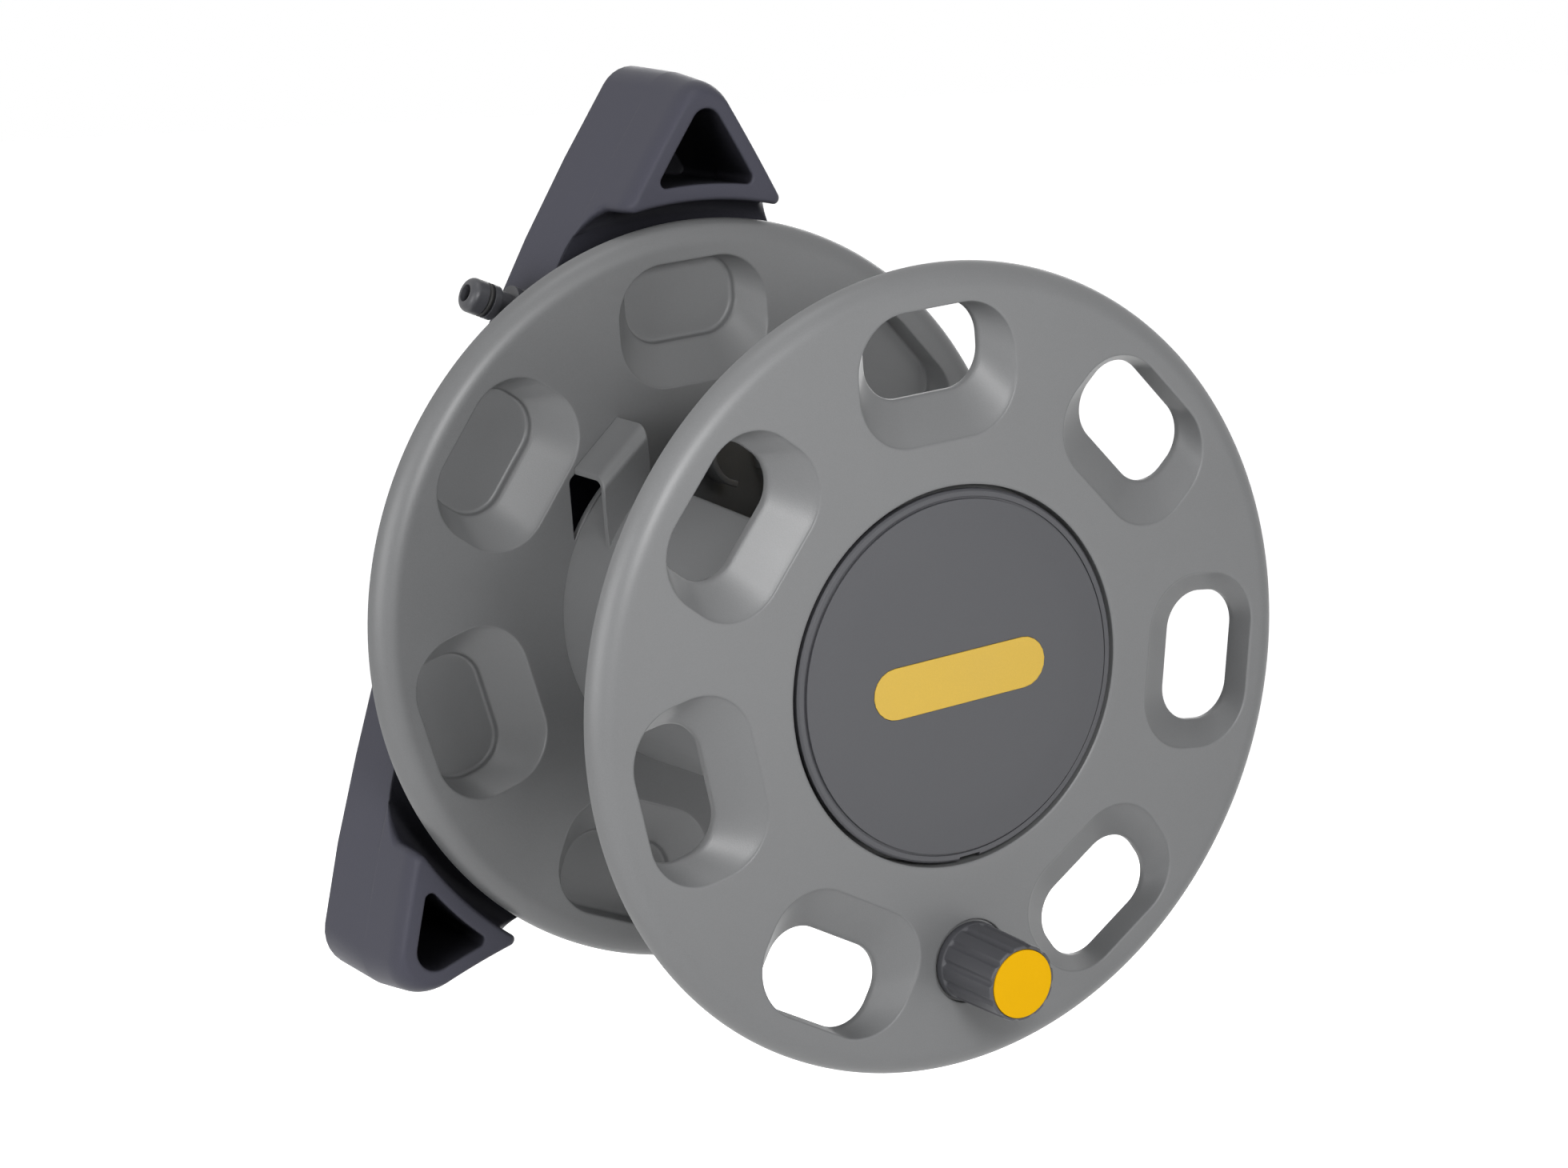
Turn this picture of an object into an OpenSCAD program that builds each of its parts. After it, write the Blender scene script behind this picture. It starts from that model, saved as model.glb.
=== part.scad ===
// Wall mounted hose reel: a flanged drum that turns on a hollow spindle, carried by a
// three-cornered wall bracket. The pieces are drawn with x to the right, y up and z forward
// from the wall, and then stood up: the wall is the plane y = 0, z points up and the drum's
// axis goes through the origin.

/* [Drum] */
// Outer diameter of both flanges
flange_d = 300; // [285:1:320]
// Distance between the faces of the two flanges
rim_gap = 167; // [150:1:190]
// Height of the rear flange's rim above the wall
rear_rim_h = 56; // [54:1:66]
// Thickness of the flanges
flange_wall = 3; // [2.4:0.1:3.6]
// Radius of the rolled rim
rim_roll = 9; // [7:0.5:11]
// Turn of the drum about its axle, in degrees
drum_turn = 5; // [-30:1:30]

/* [Hand holes] */
// Number of holes or pockets in a flange
hole_count = 7; // [5:1:7]
// Angle between two holes of the front flange, in degrees
hole_pitch = 49.5; // [46:0.5:51]
// Width of a hole along the rim
hole_w = 50; // [40:1:52]
// Height of a hole across the rim
hole_h = 32; // [26:1:34]
// Corner radius of a hole
hole_r = 14; // [8:0.5:15]
// Distance from a hole to the flange's edge
hole_margin = 14.7; // [13:0.1:18]
// Depth of a hole's funnel behind the face
funnel_depth = 13; // [10:0.5:15]
// Width of the funnel's two side slopes
side_ramp = 8.5; // [6:0.5:12]
// Width of the funnel's slope on the hub side
hub_ramp = 16; // [10:0.5:18]
// Wall of the funnels
funnel_wall = 2.4; // [1.8:0.1:3]

/* [Barrel] */
// Diameter of the barrel at the rear flange
barrel_rear_d = 140; // [134:1:148]
// Diameter of the barrel at the front flange
barrel_front_d = 126; // [122:1:134]
// Wall of the barrel
barrel_wall = 3; // [2.4:0.1:4]
// Width of the barrel's open recess
recess_w = 71.8; // [64:0.2:74]
// Wall of the recess
recess_wall = 2.5; // [2:0.1:3]
// Length of the hose hood along the axle
hood_l = 23; // [18:0.5:26]
// Length of the hood across the barrel
hood_run = 21; // [18:0.5:22]
// Rise of the hood's far end above the barrel
hood_rise = 10.1; // [8:0.1:14]

/* [Cap] */
// Diameter of the hub cap
cap_d = 138; // [134:1:142]
// Depth of the cup under the cap
cup_depth = 10; // [9:0.5:14]
// Length of the cap's pill-shaped plate
badge_l = 75; // [60:1:90]
// Height of the cap's pill-shaped plate
badge_h = 19; // [14:0.5:24]

/* [Knob] */
// Diameter of the knob at its base
knob_d = 30; // [29:0.2:33]
// Diameter of the knob at its end
knob_end_d = 28.4; // [26:0.1:28.6]
// Length of the knob
knob_l = 33.2; // [26:0.2:40]
// Diameter of the knob's pin
pin_d = 12; // [10:0.5:13]
// Distance from the knob's centre to the flange's edge
knob_margin = 41.7; // [36:0.1:46]
// Angle of the knob around the drum, clockwise from the top, in degrees
knob_a = 181.3; // [175:0.1:185]
// Number of flutes around the knob
flute_count = 12; // [8:1:16]

/* [Spindle] */
// Diameter of the spindle's rear journal
journal_d = 30; // [28:0.5:31]
// Diameter of the spindle's front journal
shaft_d = 26; // [23:0.5:27]
// Diameter of the spindle's water bore
water_d = 12; // [9:0.5:13]
// Clearance of the bearings on the spindle, on the radius
run_gap = 0.05; // [0.03:0.01:0.08]
// End play of the drum on the spindle
end_play = 0.3; // [0.3:0.05:0.6]

/* [Bracket] */
// Gap between the flange's edge and the corner blocks
drum_clear = 7; // [5:0.5:10]
// Height of the bracket's body behind the drum
body_h = 30; // [28:0.5:32]
// Height of the corner blocks past the rear flange's rim
block_lead = 3; // [1:0.5:6]
// Distance from the drum's space to the centre of the top corner
apex_reach = 36.8; // [33:0.2:42]
// Radius of the top corner
apex_r = 12; // [10:0.5:15]
// Distance from the drum's space to the centres of the lower corners
foot_reach = 30.4; // [28:0.2:36]
// Radius of the lower corners
foot_r = 14; // [12:0.5:17]
// Angle of the lower corners from straight down, in degrees
foot_angle = 43.9; // [42:0.1:46]
// Rise of the lower edge's arch above the lower corners
arch_rise = 14; // [8:0.5:18]
// Radius of the bracket's long sides
side_r = 860; // [760:10:1100]
// Wall of the bracket
bracket_wall = 3.2; // [2.6:0.1:4]
// Thickness of the bracket's back
back_t = 3; // [2.5:0.1:4]
// Wall around the screw pockets
pocket_wall = 6; // [5:0.5:9]
// Diameter of the wall screws' holes
wall_hole_d = 5.5; // [4.5:0.1:6.5]

/* [Inlet] */
// Height of the inlet's axis above the wall
inlet_h = 22; // [20:0.5:23]
// Place of the inlet down the bracket's side, as a share of that side
inlet_share = 0.283; // [0.26:0.001:0.32]
// Lean of the inlet from square to the side, in degrees
inlet_lean = 5; // [0:0.5:7]
// Diameter of the inlet's nose
nose_d = 14; // [12:0.5:15]
// Length of the inlet outside the bracket
nipple_l = 28; // [26:0.5:34]
// Outer diameter of the water pipe
pipe_d = 14; // [12:0.5:14]

/* [Hidden] */

$fn = 96;
// Overrun of every cut
over = 1;
// Gap of pieces that are pushed together, on the radius
fit_gap = 0.1;
// Steps of a rounded profile, of a lofted corner and of a hexagon
arc_steps = 10;
corner_steps = 5;
hex = 6;

// Colours
grey = [0.5, 0.51, 0.52];
slate = [0.3, 0.3, 0.33];
dark = [0.33, 0.34, 0.37];
yellow = [0.98, 0.72, 0.1];
steel = [0.72, 0.73, 0.75];
brass = [0.75, 0.6, 0.3];
white = [0.88, 0.88, 0.86];
black = [0.08, 0.08, 0.08];

// Small sizes of the flanges
edge_soft = 1.4;
funnel_lip = 3;
rim_ramp = 0.3;
funnel_corner_share = 0.8;
hub_plate_r = 34;
hub_plate_t = 8;
tube_wall = 4.5;
front_tube_l = 19;
clip_ring_r = 14.5;
clip_ring_t = 2.5;
clip_ring_l = 12;
clip_ring_x = 10.2;
clip_ring_drop = 11;
clip_mouth = 6;
clip_mouth_a = 8;

// Small sizes of the barrel
plate_t = 4;
plate_gap = 1;
post_d = 10;
post_l = 24;
post_in = 9;
post_angles = [62, 125, 235, 298];
hood_wall = 2.5;
hood_r = 6;
hood_drop = 7;
window_past = 2.4;
window_gap = 0.8;
window_r = 3;

// Small sizes of the cap
cap_gap = 1.5;
cap_crown = 1.2;
cap_lip = 2.5;
cap_line = 3.5;
cap_line_w = 0.8;
cap_line_t = 0.6;
cap_slope = 15;
cap_skirt = 3;
cap_skirt_t = 2;
cap_under = 1.8;
cap_notch_w = 9;
cap_notch_t = 1.4;
badge_sink = 0.9;
badge_proud = 0.2;

// Small sizes of the knob
knob_sink = 1.5;
knob_play = 0.3;
knob_ring = 0.8;
knob_boss_d = 24;
knob_boss_l = 8;
knob_collar = 4;
knob_step = 0.3;
knob_edge = 0.8;
flute_r = 1.5;
flute_t = 0.7;
end_room = 7;
end_cap_rim = 1.5;
end_room_gap = 0.8;
end_cap_t = 1.5;
end_cap_proud = 0.3;
end_plug_t = 1.6;
end_plug_l = 1;
pin_thread_d = 8;
pin_nut_d = 15;
pin_nut_t = 5;
grip_washer_d = 17;
grip_washer_t = 1.5;
grip_screw_d = 5;
grip_screw_l = 12;
grip_head_d = 10;
grip_head_t = 3;

// Small sizes of the spindle and its bearings
boss_step = 4;
boss_wall = 3;
spigot_d = 22;
spigot_floor = 3;
spigot_end_gap = 0.5;
spindle_flange_d = 58;
spindle_flange_t = 5;
spindle_screw_out = 3;
thrust_t = 2;
thrust_w = 7;
bush_t = 4;
bush_flange_t = 2.5;
bush_flange_w = 3.5;
end_washer_t = 1.5;
clip_t = 1.5;
clip_w = 6.4;
clip_groove_t = 1.5;
clip_slack = 0.1;
spindle_tip = 1.2;
tip_chamfer = 0.8;
port_lift = 28;
port_d = 7;
port_w = 8;
port_t = 2;
seal_step = 8;
seal_d = 1.7;
seal_w = 3;
seal_slack = 0.1;
bore_end = 4;

// Small sizes of the swivel joint and the hose tail
manifold_wall = 6;
manifold_top_l = 11;
manifold_flange_w = 10;
manifold_flange_t = 4;
manifold_gap = 0.5;
manifold_angles = [120, 180, 240];
journal_past = 2;
arm_d = 14;
arm_bore_d = 9;
arm_l = 45;
arm_a = 37;
arm_gap = 1.5;
elbow_d = 15.2;
elbow_bore_d = 9.6;
elbow_l = 8;
tail_a = -15;
tail_d = 12;
tail_bore_d = 7;
tail_plug_l = 6;
tail_collar_d = 15;
tail_collar_t = 3;
tail_l = 22;
tail_nose = 0.8;
tail_nose_l = 4;
tail_end = 1;

// Small sizes of the bracket
bracket_draft = 3.5;
edge_r = 4.5;
edge_l = 12;
edge_steps = 6;
corner_share = 0.55;
tip_r = 3;
tip_reach = 13;
tip_fn = 24;
notch_r = 14;
lip_chamfer = 1.5;
tray_land = 3;
rib_t = 3;
rib_x = 11;
rib_drop = 2;
slot_land = 2;
pocket_floor = 5;
pocket_r = 2.5;
pocket_lip = 0.7;
wall_hole_in = 19.5;

// Small sizes of the inlet
pad_d = 19;
pad_out = 1.4;
pad_in = 5.6;
collar_over = 2.2;
collar_t = 4;
collar_gap = 2;
collar_dip = 1;
collar_end_t = 3;
neck_dip = 1.2;
neck_l = 6;
nose_round = 3;
nose_bore_d = 7;
nose_groove = 4.5;
nose_seal_d = 2.2;
nose_seal_w = 2.8;
nose_seal_in = 0.1;
shank_d = 13;
shank_l = 21;
inlet_nut_d = 21;
inlet_nut_t = 5;
inlet_leg = 40;
socket_wall = 2;
socket_l = 8;
pipe_wall = 2;
hub_over = 2.5;
hub_lid = 2;
hub_room = 0.8;
pipe_gap = 0.4;
pipe_past = 1.5;

// Screws
screw_d = 4;
screw_head_d = 8;
screw_head_t = 2.7;
screw_key_d = 3;
screw_key_t = 1.5;
spindle_screw_l = 14;
manifold_screw_l = 9;
post_screw_l = 16;
spindle_screw_angles = [45, 135, 225, 315];
head_gap = 0.3;

// Levels along the axle
flange_r = flange_d / 2;
rear_face = rear_rim_h + rim_roll;
front_face = rear_face + rim_gap;
cup_floor = front_face - cup_depth;
barrel_end = cup_floor - flange_wall;
boss_top = body_h + boss_step;
spindle_top = boss_top + spindle_flange_t;
thrust_top = spindle_top + thrust_t;
bush_start = thrust_top + end_play;
tube_start = bush_start + bush_flange_t;
bush_front = cup_floor + bush_flange_t;
washer_start = bush_front + end_play;
clip_start = washer_start + end_washer_t;
spindle_end = clip_start + clip_t + spindle_tip;
port_h = rear_face + port_lift;
manifold_top = port_h + manifold_top_l;
journal_top = manifold_top + journal_past;
block_h = rear_rim_h + block_lead;

// Radii about the axle
journal_r = journal_d / 2;
shaft_r = shaft_d / 2;
water_r = water_d / 2;
rear_bush_r = journal_r + bush_t;
front_bush_r = shaft_r + bush_t;
rear_tube_r = rear_bush_r + tube_wall;
front_tube_r = front_bush_r + flange_wall;
manifold_r = journal_r + manifold_wall;
manifold_flange_r = manifold_r + manifold_flange_w;
plate_bore_r = manifold_flange_r + plate_gap;
recess_floor_h = manifold_r + manifold_gap + recess_wall;
barrel_rear_r = barrel_rear_d / 2;
barrel_front_r = barrel_front_d / 2;
cap_r = cap_d / 2;
cup_r = cap_r + cap_gap;
skirt_in_r = cap_r - cap_skirt - cap_skirt_t;
post_r = min(barrel_front_r - barrel_wall - post_in, skirt_in_r - screw_head_d / 2 - head_gap);
manifold_screw_r = manifold_flange_r - screw_head_d / 2 - plate_gap;
spindle_screw_r = (spindle_flange_d + spigot_d) / 4 + spindle_screw_out;
boss_r = spindle_flange_d / 2 + boss_wall;
clip_ring_y = barrel_rear_r - clip_ring_drop;

// Knob
knob_r = flange_r - knob_margin;
knob_seat = front_face - knob_sink;
grip_start = knob_seat + knob_play;
grip_end = grip_start + knob_l;
pin_r = pin_d / 2;
pin_top = grip_end - end_room;
washer_top = pin_top + grip_washer_t;
knob_back = front_face - flange_wall - knob_boss_l;
knob_end_r = knob_end_d / 2;
end_cap_r = knob_end_r - end_cap_rim;
room_r = grip_washer_d / 2 + end_room_gap;

// Hand holes
funnel_w = hole_w + 2 * side_ramp;
funnel_h = hole_h + hub_ramp + rim_ramp;
hole_out_r = flange_r - hole_margin;
hole_mid = hole_out_r - hole_h / 2;
funnel_mid = hole_out_r + rim_ramp - funnel_h / 2;
funnel_r = hole_r + side_ramp * funnel_corner_share;
front_angles = [for (i = [0:hole_count - 1]) (i - (hole_count - 1) / 2) * hole_pitch];
rear_angles = [for (i = [0:hole_count - 1]) i * 360 / hole_count];

// Bracket outline in the wall's plane
drum_clear_r = flange_r + drum_clear;
tray_r = drum_clear_r - notch_r - tray_land;
apex_c = [0, drum_clear_r + apex_reach];
foot_c = polar(drum_clear_r + foot_reach, 180 + foot_angle);
side_c = meet(apex_c, side_r - apex_r, foot_c, side_r - foot_r);
arch_r = (foot_c[0] ^ 2 + arch_rise ^ 2 - foot_r ^ 2) / (2 * (foot_r + arch_rise));
arch_c = [0, foot_c[1] + arch_rise - arch_r];
side_top_a = heading(side_c, apex_c);
side_foot_a = heading(side_c, foot_c);
tip_k = draft_at(body_h + notch_r);
tip_ring = drum_clear_r + tip_r;
tip_top = meet([0, 0], tip_ring, side_c, side_r - tip_k - tip_r);
tip_side = meet(side_c, side_r - tip_k - tip_r, [0, 0], tip_ring);
tip_arch = flip(meet([0, 0], tip_ring, arch_c, arch_r + tip_k + tip_r));
wall_hole_r = drum_clear_r + wall_hole_in;

// Inlet and water pipe
inlet_a = side_top_a + inlet_share * (side_foot_a - side_top_a);
inlet_p = on(side_c, side_r - draft_at(inlet_h), inlet_a);
inlet_dir = inlet_a + inlet_lean;
pipe_q = on(inlet_p, -inlet_leg, inlet_dir);
pipe_a = heading([0, 0], pipe_q);
pipe_l = norm(pipe_q);
pipe_r = pipe_d / 2;
nose_r = nose_d / 2;
shank_r = shank_d / 2;
socket_r = shank_r + socket_wall;
shank_end = pad_out - shank_l;

// A point at a radius and an angle clockwise from the top
function polar(r, a) = [r * sin(a), r * cos(a)];
// A point on a circle, the angle of one point seen from another, and an arc
function on(c, r, a) = [c[0] + r * cos(a), c[1] + r * sin(a)];
function heading(p, q) = (atan2(q[1] - p[1], q[0] - p[0]) + 360) % 360;
function arc(c, r, a0, a1, n) = [for (i = [0:n]) on(c, r, a0 + (a1 - a0) * i / n)];
function open_arc(c, r, a0, a1, n) = [for (i = [0:n - 1]) on(c, r, a0 + (a1 - a0) * i / n)];
function flip(p) = [-p[0], p[1]];
// The meeting point of two circles, to the left of the line between their centres
function meet(p, r0, q, r1) =
    let (d = norm(q - p))
    let (u = (q - p) / d)
    let (a = (d ^ 2 + r0 ^ 2 - r1 ^ 2) / (2 * d))
    let (h = sqrt(r0 ^ 2 - a ^ 2))
    [p[0] + a * u[0] - h * u[1], p[1] + a * u[1] + h * u[0]];

// The bracket's outline, drawn in by k: top corner, left side, left foot, arch and so on; the
// corners lose only a share of k from their radius
function outline(k) =
    let (ra = apex_r - k * corner_share)
    let (rf = foot_r - k * corner_share)
    let (top = [0, side_c[1] + sqrt((side_r - k - ra) ^ 2 - side_c[0] ^ 2)])
    let (foot = meet(arch_c, arch_r + k + rf, side_c, side_r - k - rf))
    let (a0 = heading(side_c, top))
    let (a1 = heading(side_c, foot))
    let (a2 = heading(foot, arch_c))
    concat(
        open_arc(top, ra, 180 - a0, a0, arc_steps),
        open_arc(side_c, side_r - k, a0, a1, arc_steps),
        open_arc(foot, rf, a1, a2, arc_steps),
        open_arc(arch_c, arch_r + k, a2 - 180, 360 - a2, arc_steps),
        open_arc(flip(foot), rf, 540 - a2, 540 - a1, arc_steps),
        open_arc(flip(side_c), side_r - k, 180 - a1, 180 - a0, arc_steps));
function draft_at(h) = bracket_draft * h / block_h;

// A rectangle with round corners, centred on the line x = 0
function slot(w, h, r, mid, grow) =
    let (x = w / 2 - r)
    let (y = h / 2 - r)
    let (q = r + grow)
    concat(
        arc([x, mid - y], q, -90, 0, corner_steps),
        arc([x, mid + y], q, 0, 90, corner_steps),
        arc([-x, mid + y], q, 90, 180, corner_steps),
        arc([-x, mid - y], q, 180, 270, corner_steps));
function hole_slot(grow) = slot(hole_w, hole_h, hole_r, hole_mid, grow);
function funnel_slot(grow) = slot(funnel_w, funnel_h, funnel_r, funnel_mid, grow);

// A pill shape
function pill(l, h) = concat(
    arc([(l - h) / 2, 0], h / 2, -90, 90, arc_steps),
    arc([(h - l) / 2, 0], h / 2, 90, 270, arc_steps));

// A groove in a turned profile
function groove(r, depth, mid, w) = [
    [r, mid - w / 2],
    [r - depth, mid - w / 2],
    [r - depth, mid + w / 2],
    [r, mid + w / 2]
];

// Frames: the upright reel, the drum, the knob and the inlet
module place() rotate([90, 0, 0]) children();
module on_drum() place() rotate([0, 0, drum_turn]) children();
module at_polar(r, a) rotate([0, 0, -a]) translate([0, r, 0]) children();
module at_knob() on_drum() at_polar(knob_r, knob_a) children();
module inlet_axis() translate([inlet_p[0], inlet_p[1], inlet_h]) rotate([0, 90, inlet_dir]) children();
module pipe_axis() translate([0, 0, inlet_h]) rotate([0, 90, pipe_a]) children();
module arm_axis() translate([0, 0, port_h]) rotate([0, 90, 90 - arm_a]) children();
module tail_axis() {
    translate(concat(polar(arm_l, arm_a), port_h))
        rotate([0, 90, 90 - tail_a]) children();
}

// Basic forms
module disc(r, z0, z1) translate([0, 0, z0]) cylinder(r = r, h = z1 - z0);
module ring(r1, r0, z0, z1) difference() {
    disc(r1, z0, z1);
    disc(r0, z0 - over, z1 + over);
}
module turned(points) rotate_extrude() polygon(points);
module loft(sections) {
    n = len(sections[0][0]);
    last = len(sections) - 1;
    points = [for (s = sections) for (p = s[0]) [p[0], p[1], s[1]]];
    lower = [for (k = [0:n - 1]) k];
    upper = [for (k = [n - 1:-1:0]) last * n + k];
    rising = [for (i = [0:last - 1]) for (k = [0:n - 1])
        [i * n + k, i * n + n + k, i * n + n + (k + 1) % n]];
    falling = [for (i = [0:last - 1]) for (k = [0:n - 1])
        [i * n + k, i * n + n + (k + 1) % n, i * n + (k + 1) % n]];
    polyhedron(points = points, faces = concat([lower, upper], rising, falling));
}

// A pan head screw with its seat at z = 0, pointing to -z
module screw(l) difference() {
    union() {
        disc(screw_d / 2, -l, 0);
        disc(screw_head_d / 2, 0, screw_head_t);
    }
    translate([0, 0, screw_head_t - screw_key_t])
        cylinder(d = screw_key_d, h = screw_key_t + over, $fn = hex);
}
module screw_hole(l) disc(screw_d / 2 + fit_gap, -l, over);

// The bracket: a drafted body, hollowed behind the drum, with three hollow corner blocks
module bracket_body() loft(concat(
    [[outline(0), 0]],
    [for (i = [0:edge_steps])
        let (a = 90 * i / edge_steps)
        [outline(draft_at(block_h - edge_l) + edge_r * (1 - cos(a))), block_h - edge_l * (1 - sin(a))]]));
module drum_space() turned(concat(
    [[0, body_h]],
    arc([drum_clear_r - notch_r, body_h + notch_r], notch_r, -90, 0, arc_steps),
    [
        [drum_clear_r, block_h - lip_chamfer],
        [drum_clear_r + lip_chamfer, block_h],
        [drum_clear_r + lip_chamfer, block_h + over],
        [0, block_h + over]
    ]));
module tray() intersection() {
    loft([
        [outline(bracket_wall + draft_at(back_t)), back_t],
        [outline(bracket_wall + draft_at(body_h + over)), body_h + over]
    ]);
    disc(tray_r, 0, block_h);
}
module pockets() translate([0, 0, pocket_floor]) linear_extrude(height = block_h)
    offset(r = pocket_r, $fn = 32) offset(delta = -pocket_r) difference() {
        polygon(outline(bracket_draft + pocket_wall));
        circle(r = drum_clear_r + pocket_wall + pocket_lip);
    }
// The blocks' tips, rounded where the drum's space meets the outline; u points out of the side
module tip_cut(c, u) {
    v = -c / norm(c);
    translate([0, 0, body_h + notch_r]) linear_extrude(height = block_h) difference() {
        polygon([c, c + tip_reach * u, c + tip_reach * (u + v), c + tip_reach * v]);
        translate(c) circle(r = tip_r, $fn = tip_fn);
    }
}
module tips() for (s = [0, 1]) mirror([s, 0, 0]) {
    tip_cut(tip_top, (tip_top - side_c) / norm(tip_top - side_c));
    tip_cut(tip_side, (tip_side - side_c) / norm(tip_side - side_c));
    tip_cut(tip_arch, (arch_c - tip_arch) / norm(arch_c - tip_arch));
}
module rib_pair(a) rotate([0, 0, -a]) for (s = [-1, 1])
    translate([s * rib_x - rib_t / 2, 0, 0])
        cube([rib_t, tray_r + over, body_h - rib_drop]);
module pipe_way() {
    pipe_axis() cylinder(r = pipe_r + pipe_gap, h = pipe_l);
    rotate([0, 0, pipe_a]) translate([boss_r + slot_land, -pipe_r - pipe_gap, inlet_h])
        cube([pipe_l - boss_r - slot_land, 2 * (pipe_r + pipe_gap), body_h]);
    translate(pipe_q)
        disc(pipe_r + hub_over + pipe_gap, inlet_h - pipe_r - hub_lid - pipe_gap, body_h + over);
    inlet_axis() disc(socket_r + pipe_gap, -inlet_leg, -pad_in);
}
module wall_bracket() color(slate) place() difference() {
    union() {
        difference() {
            bracket_body();
            drum_space();
            tray();
            pockets();
            tips();
        }
        for (a = [0, 180 - foot_angle, 180 + foot_angle]) rib_pair(a);
        disc(boss_r, 0, boss_top);
        inlet_axis() disc(pad_d / 2, -pad_in, pad_out);
    }
    disc(spigot_d / 2 + fit_gap, back_t + spigot_floor - spigot_end_gap, boss_top + over);
    pipe_way();
    inlet_axis() disc(shank_r + fit_gap, -pad_in - over, pad_out + over);
    for (a = spindle_screw_angles) at_polar(spindle_screw_r, a)
        translate([0, 0, boss_top]) screw_hole(spindle_screw_l);
    for (a = [0, 180 - foot_angle, 180 + foot_angle]) at_polar(wall_hole_r, a)
        disc(wall_hole_d / 2, -over, pocket_floor + over);
}

// The fixed hollow spindle and what sits on it
module spindle() color(white) place() difference() {
    turned(concat(
        [
            [0, back_t + spigot_floor],
            [spigot_d / 2, back_t + spigot_floor],
            [spigot_d / 2, boss_top],
            [spindle_flange_d / 2, boss_top],
            [spindle_flange_d / 2, spindle_top],
            [journal_r, spindle_top]
        ],
        groove(journal_r, seal_d + seal_slack, port_h - seal_step, seal_w),
        groove(journal_r, seal_d + seal_slack, port_h + seal_step, seal_w),
        [[journal_r, journal_top], [shaft_r, journal_top]],
        groove(shaft_r, clip_groove_t, clip_start + clip_t / 2, clip_t + 2 * clip_slack),
        [
            [shaft_r, spindle_end - tip_chamfer],
            [shaft_r - tip_chamfer, spindle_end],
            [0, spindle_end]
        ]));
    disc(water_r, inlet_h - water_r - bore_end, port_h + bore_end);
    pipe_axis() cylinder(r = pipe_r + fit_gap, h = spigot_d);
    for (a = [0, 90]) translate([0, 0, port_h]) rotate([0, 90, a])
        cylinder(d = port_d, h = journal_d + 2 * over, center = true);
    for (a = spindle_screw_angles) at_polar(spindle_screw_r, a) {
        disc(screw_d / 2 + fit_gap, boss_top - over, spindle_top);
        disc(screw_head_d / 2 + fit_gap, spindle_top - screw_head_t - head_gap, spindle_top + over);
    }
}
module spindle_screws() color(steel) place()
    for (a = spindle_screw_angles) at_polar(spindle_screw_r, a)
        translate([0, 0, spindle_top - screw_head_t - head_gap]) screw(spindle_screw_l);
module spindle_seals() color(black) place()
    for (s = [-1, 1]) translate([0, 0, port_h + s * seal_step])
        rotate_extrude() translate([journal_r - seal_d / 2, 0]) circle(d = seal_d);
module thrust_washer() color(white) place()
    ring(journal_r + thrust_w, journal_r + fit_gap, spindle_top, thrust_top);
module end_washer() color(steel) place()
    ring(front_bush_r + bush_flange_w, shaft_r + fit_gap, washer_start, clip_start);
module retaining_clip() color(steel) place() difference() {
    ring(shaft_r - clip_groove_t + clip_w, shaft_r - clip_groove_t + clip_slack,
        clip_start, clip_start + clip_t);
    translate([-shaft_r + 2 * clip_groove_t, -shaft_d, clip_start - over])
        cube([2 * (shaft_r - 2 * clip_groove_t), shaft_d, clip_t + 2 * over]);
}

// The water inlet: pipe, nipple, lock nut and seal
module inlet_pipe() color(black) place() difference() {
    union() {
        pipe_axis() disc(pipe_r, water_r + pipe_past, pipe_l);
        translate(pipe_q) disc(pipe_r + hub_over, inlet_h - pipe_r - hub_lid, inlet_h + pipe_r + hub_lid);
        inlet_axis() disc(pipe_r, -inlet_leg, shank_end - pipe_wall + over);
        inlet_axis() disc(socket_r, shank_end - pipe_wall, shank_end + socket_l);
    }
    pipe_axis() disc(pipe_r - pipe_wall, 0, pipe_l);
    translate(pipe_q) disc(pipe_r - pipe_wall + hub_room, inlet_h - pipe_r, inlet_h + pipe_r);
    inlet_axis() disc(pipe_r - pipe_wall, -inlet_leg, shank_end + over);
    inlet_axis() disc(shank_r + fit_gap, shank_end, shank_end + socket_l + over);
}
module inlet_nipple() {
    collar_r = nose_r + collar_over;
    end = pad_out + nipple_l;
    first = pad_out + collar_t;
    second = first + collar_gap;
    third = second + collar_end_t;
    neck = third + neck_l;
    color(dark) place() inlet_axis() turned(concat(
        [
            [nose_bore_d / 2, shank_end],
            [shank_r, shank_end],
            [shank_r, pad_out],
            [collar_r, pad_out],
            [collar_r, first],
            [collar_r - collar_dip, first],
            [collar_r - collar_dip, second],
            [collar_r, second],
            [collar_r, third],
            [nose_r - neck_dip, third],
            [nose_r - neck_dip, neck],
            [nose_r, neck]
        ],
        groove(nose_r, nose_seal_d + nose_seal_in, neck + nose_groove, nose_seal_w),
        arc([nose_r - nose_round, end - nose_round], nose_round, 0, 90, arc_steps),
        [[nose_bore_d / 2, end]]));
}
module inlet_nut() color(steel) place() inlet_axis() difference() {
    translate([0, 0, -pad_in - inlet_nut_t]) cylinder(d = inlet_nut_d, h = inlet_nut_t, $fn = hex);
    disc(shank_r + fit_gap, -pad_in - inlet_nut_t - over, over);
}
module inlet_seal() color(black) place() inlet_axis()
    translate([0, 0, pad_out + collar_t + collar_gap + collar_end_t + neck_l + nose_groove])
        rotate_extrude() translate([nose_r - nose_seal_d / 2, 0]) circle(d = nose_seal_d);

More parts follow.
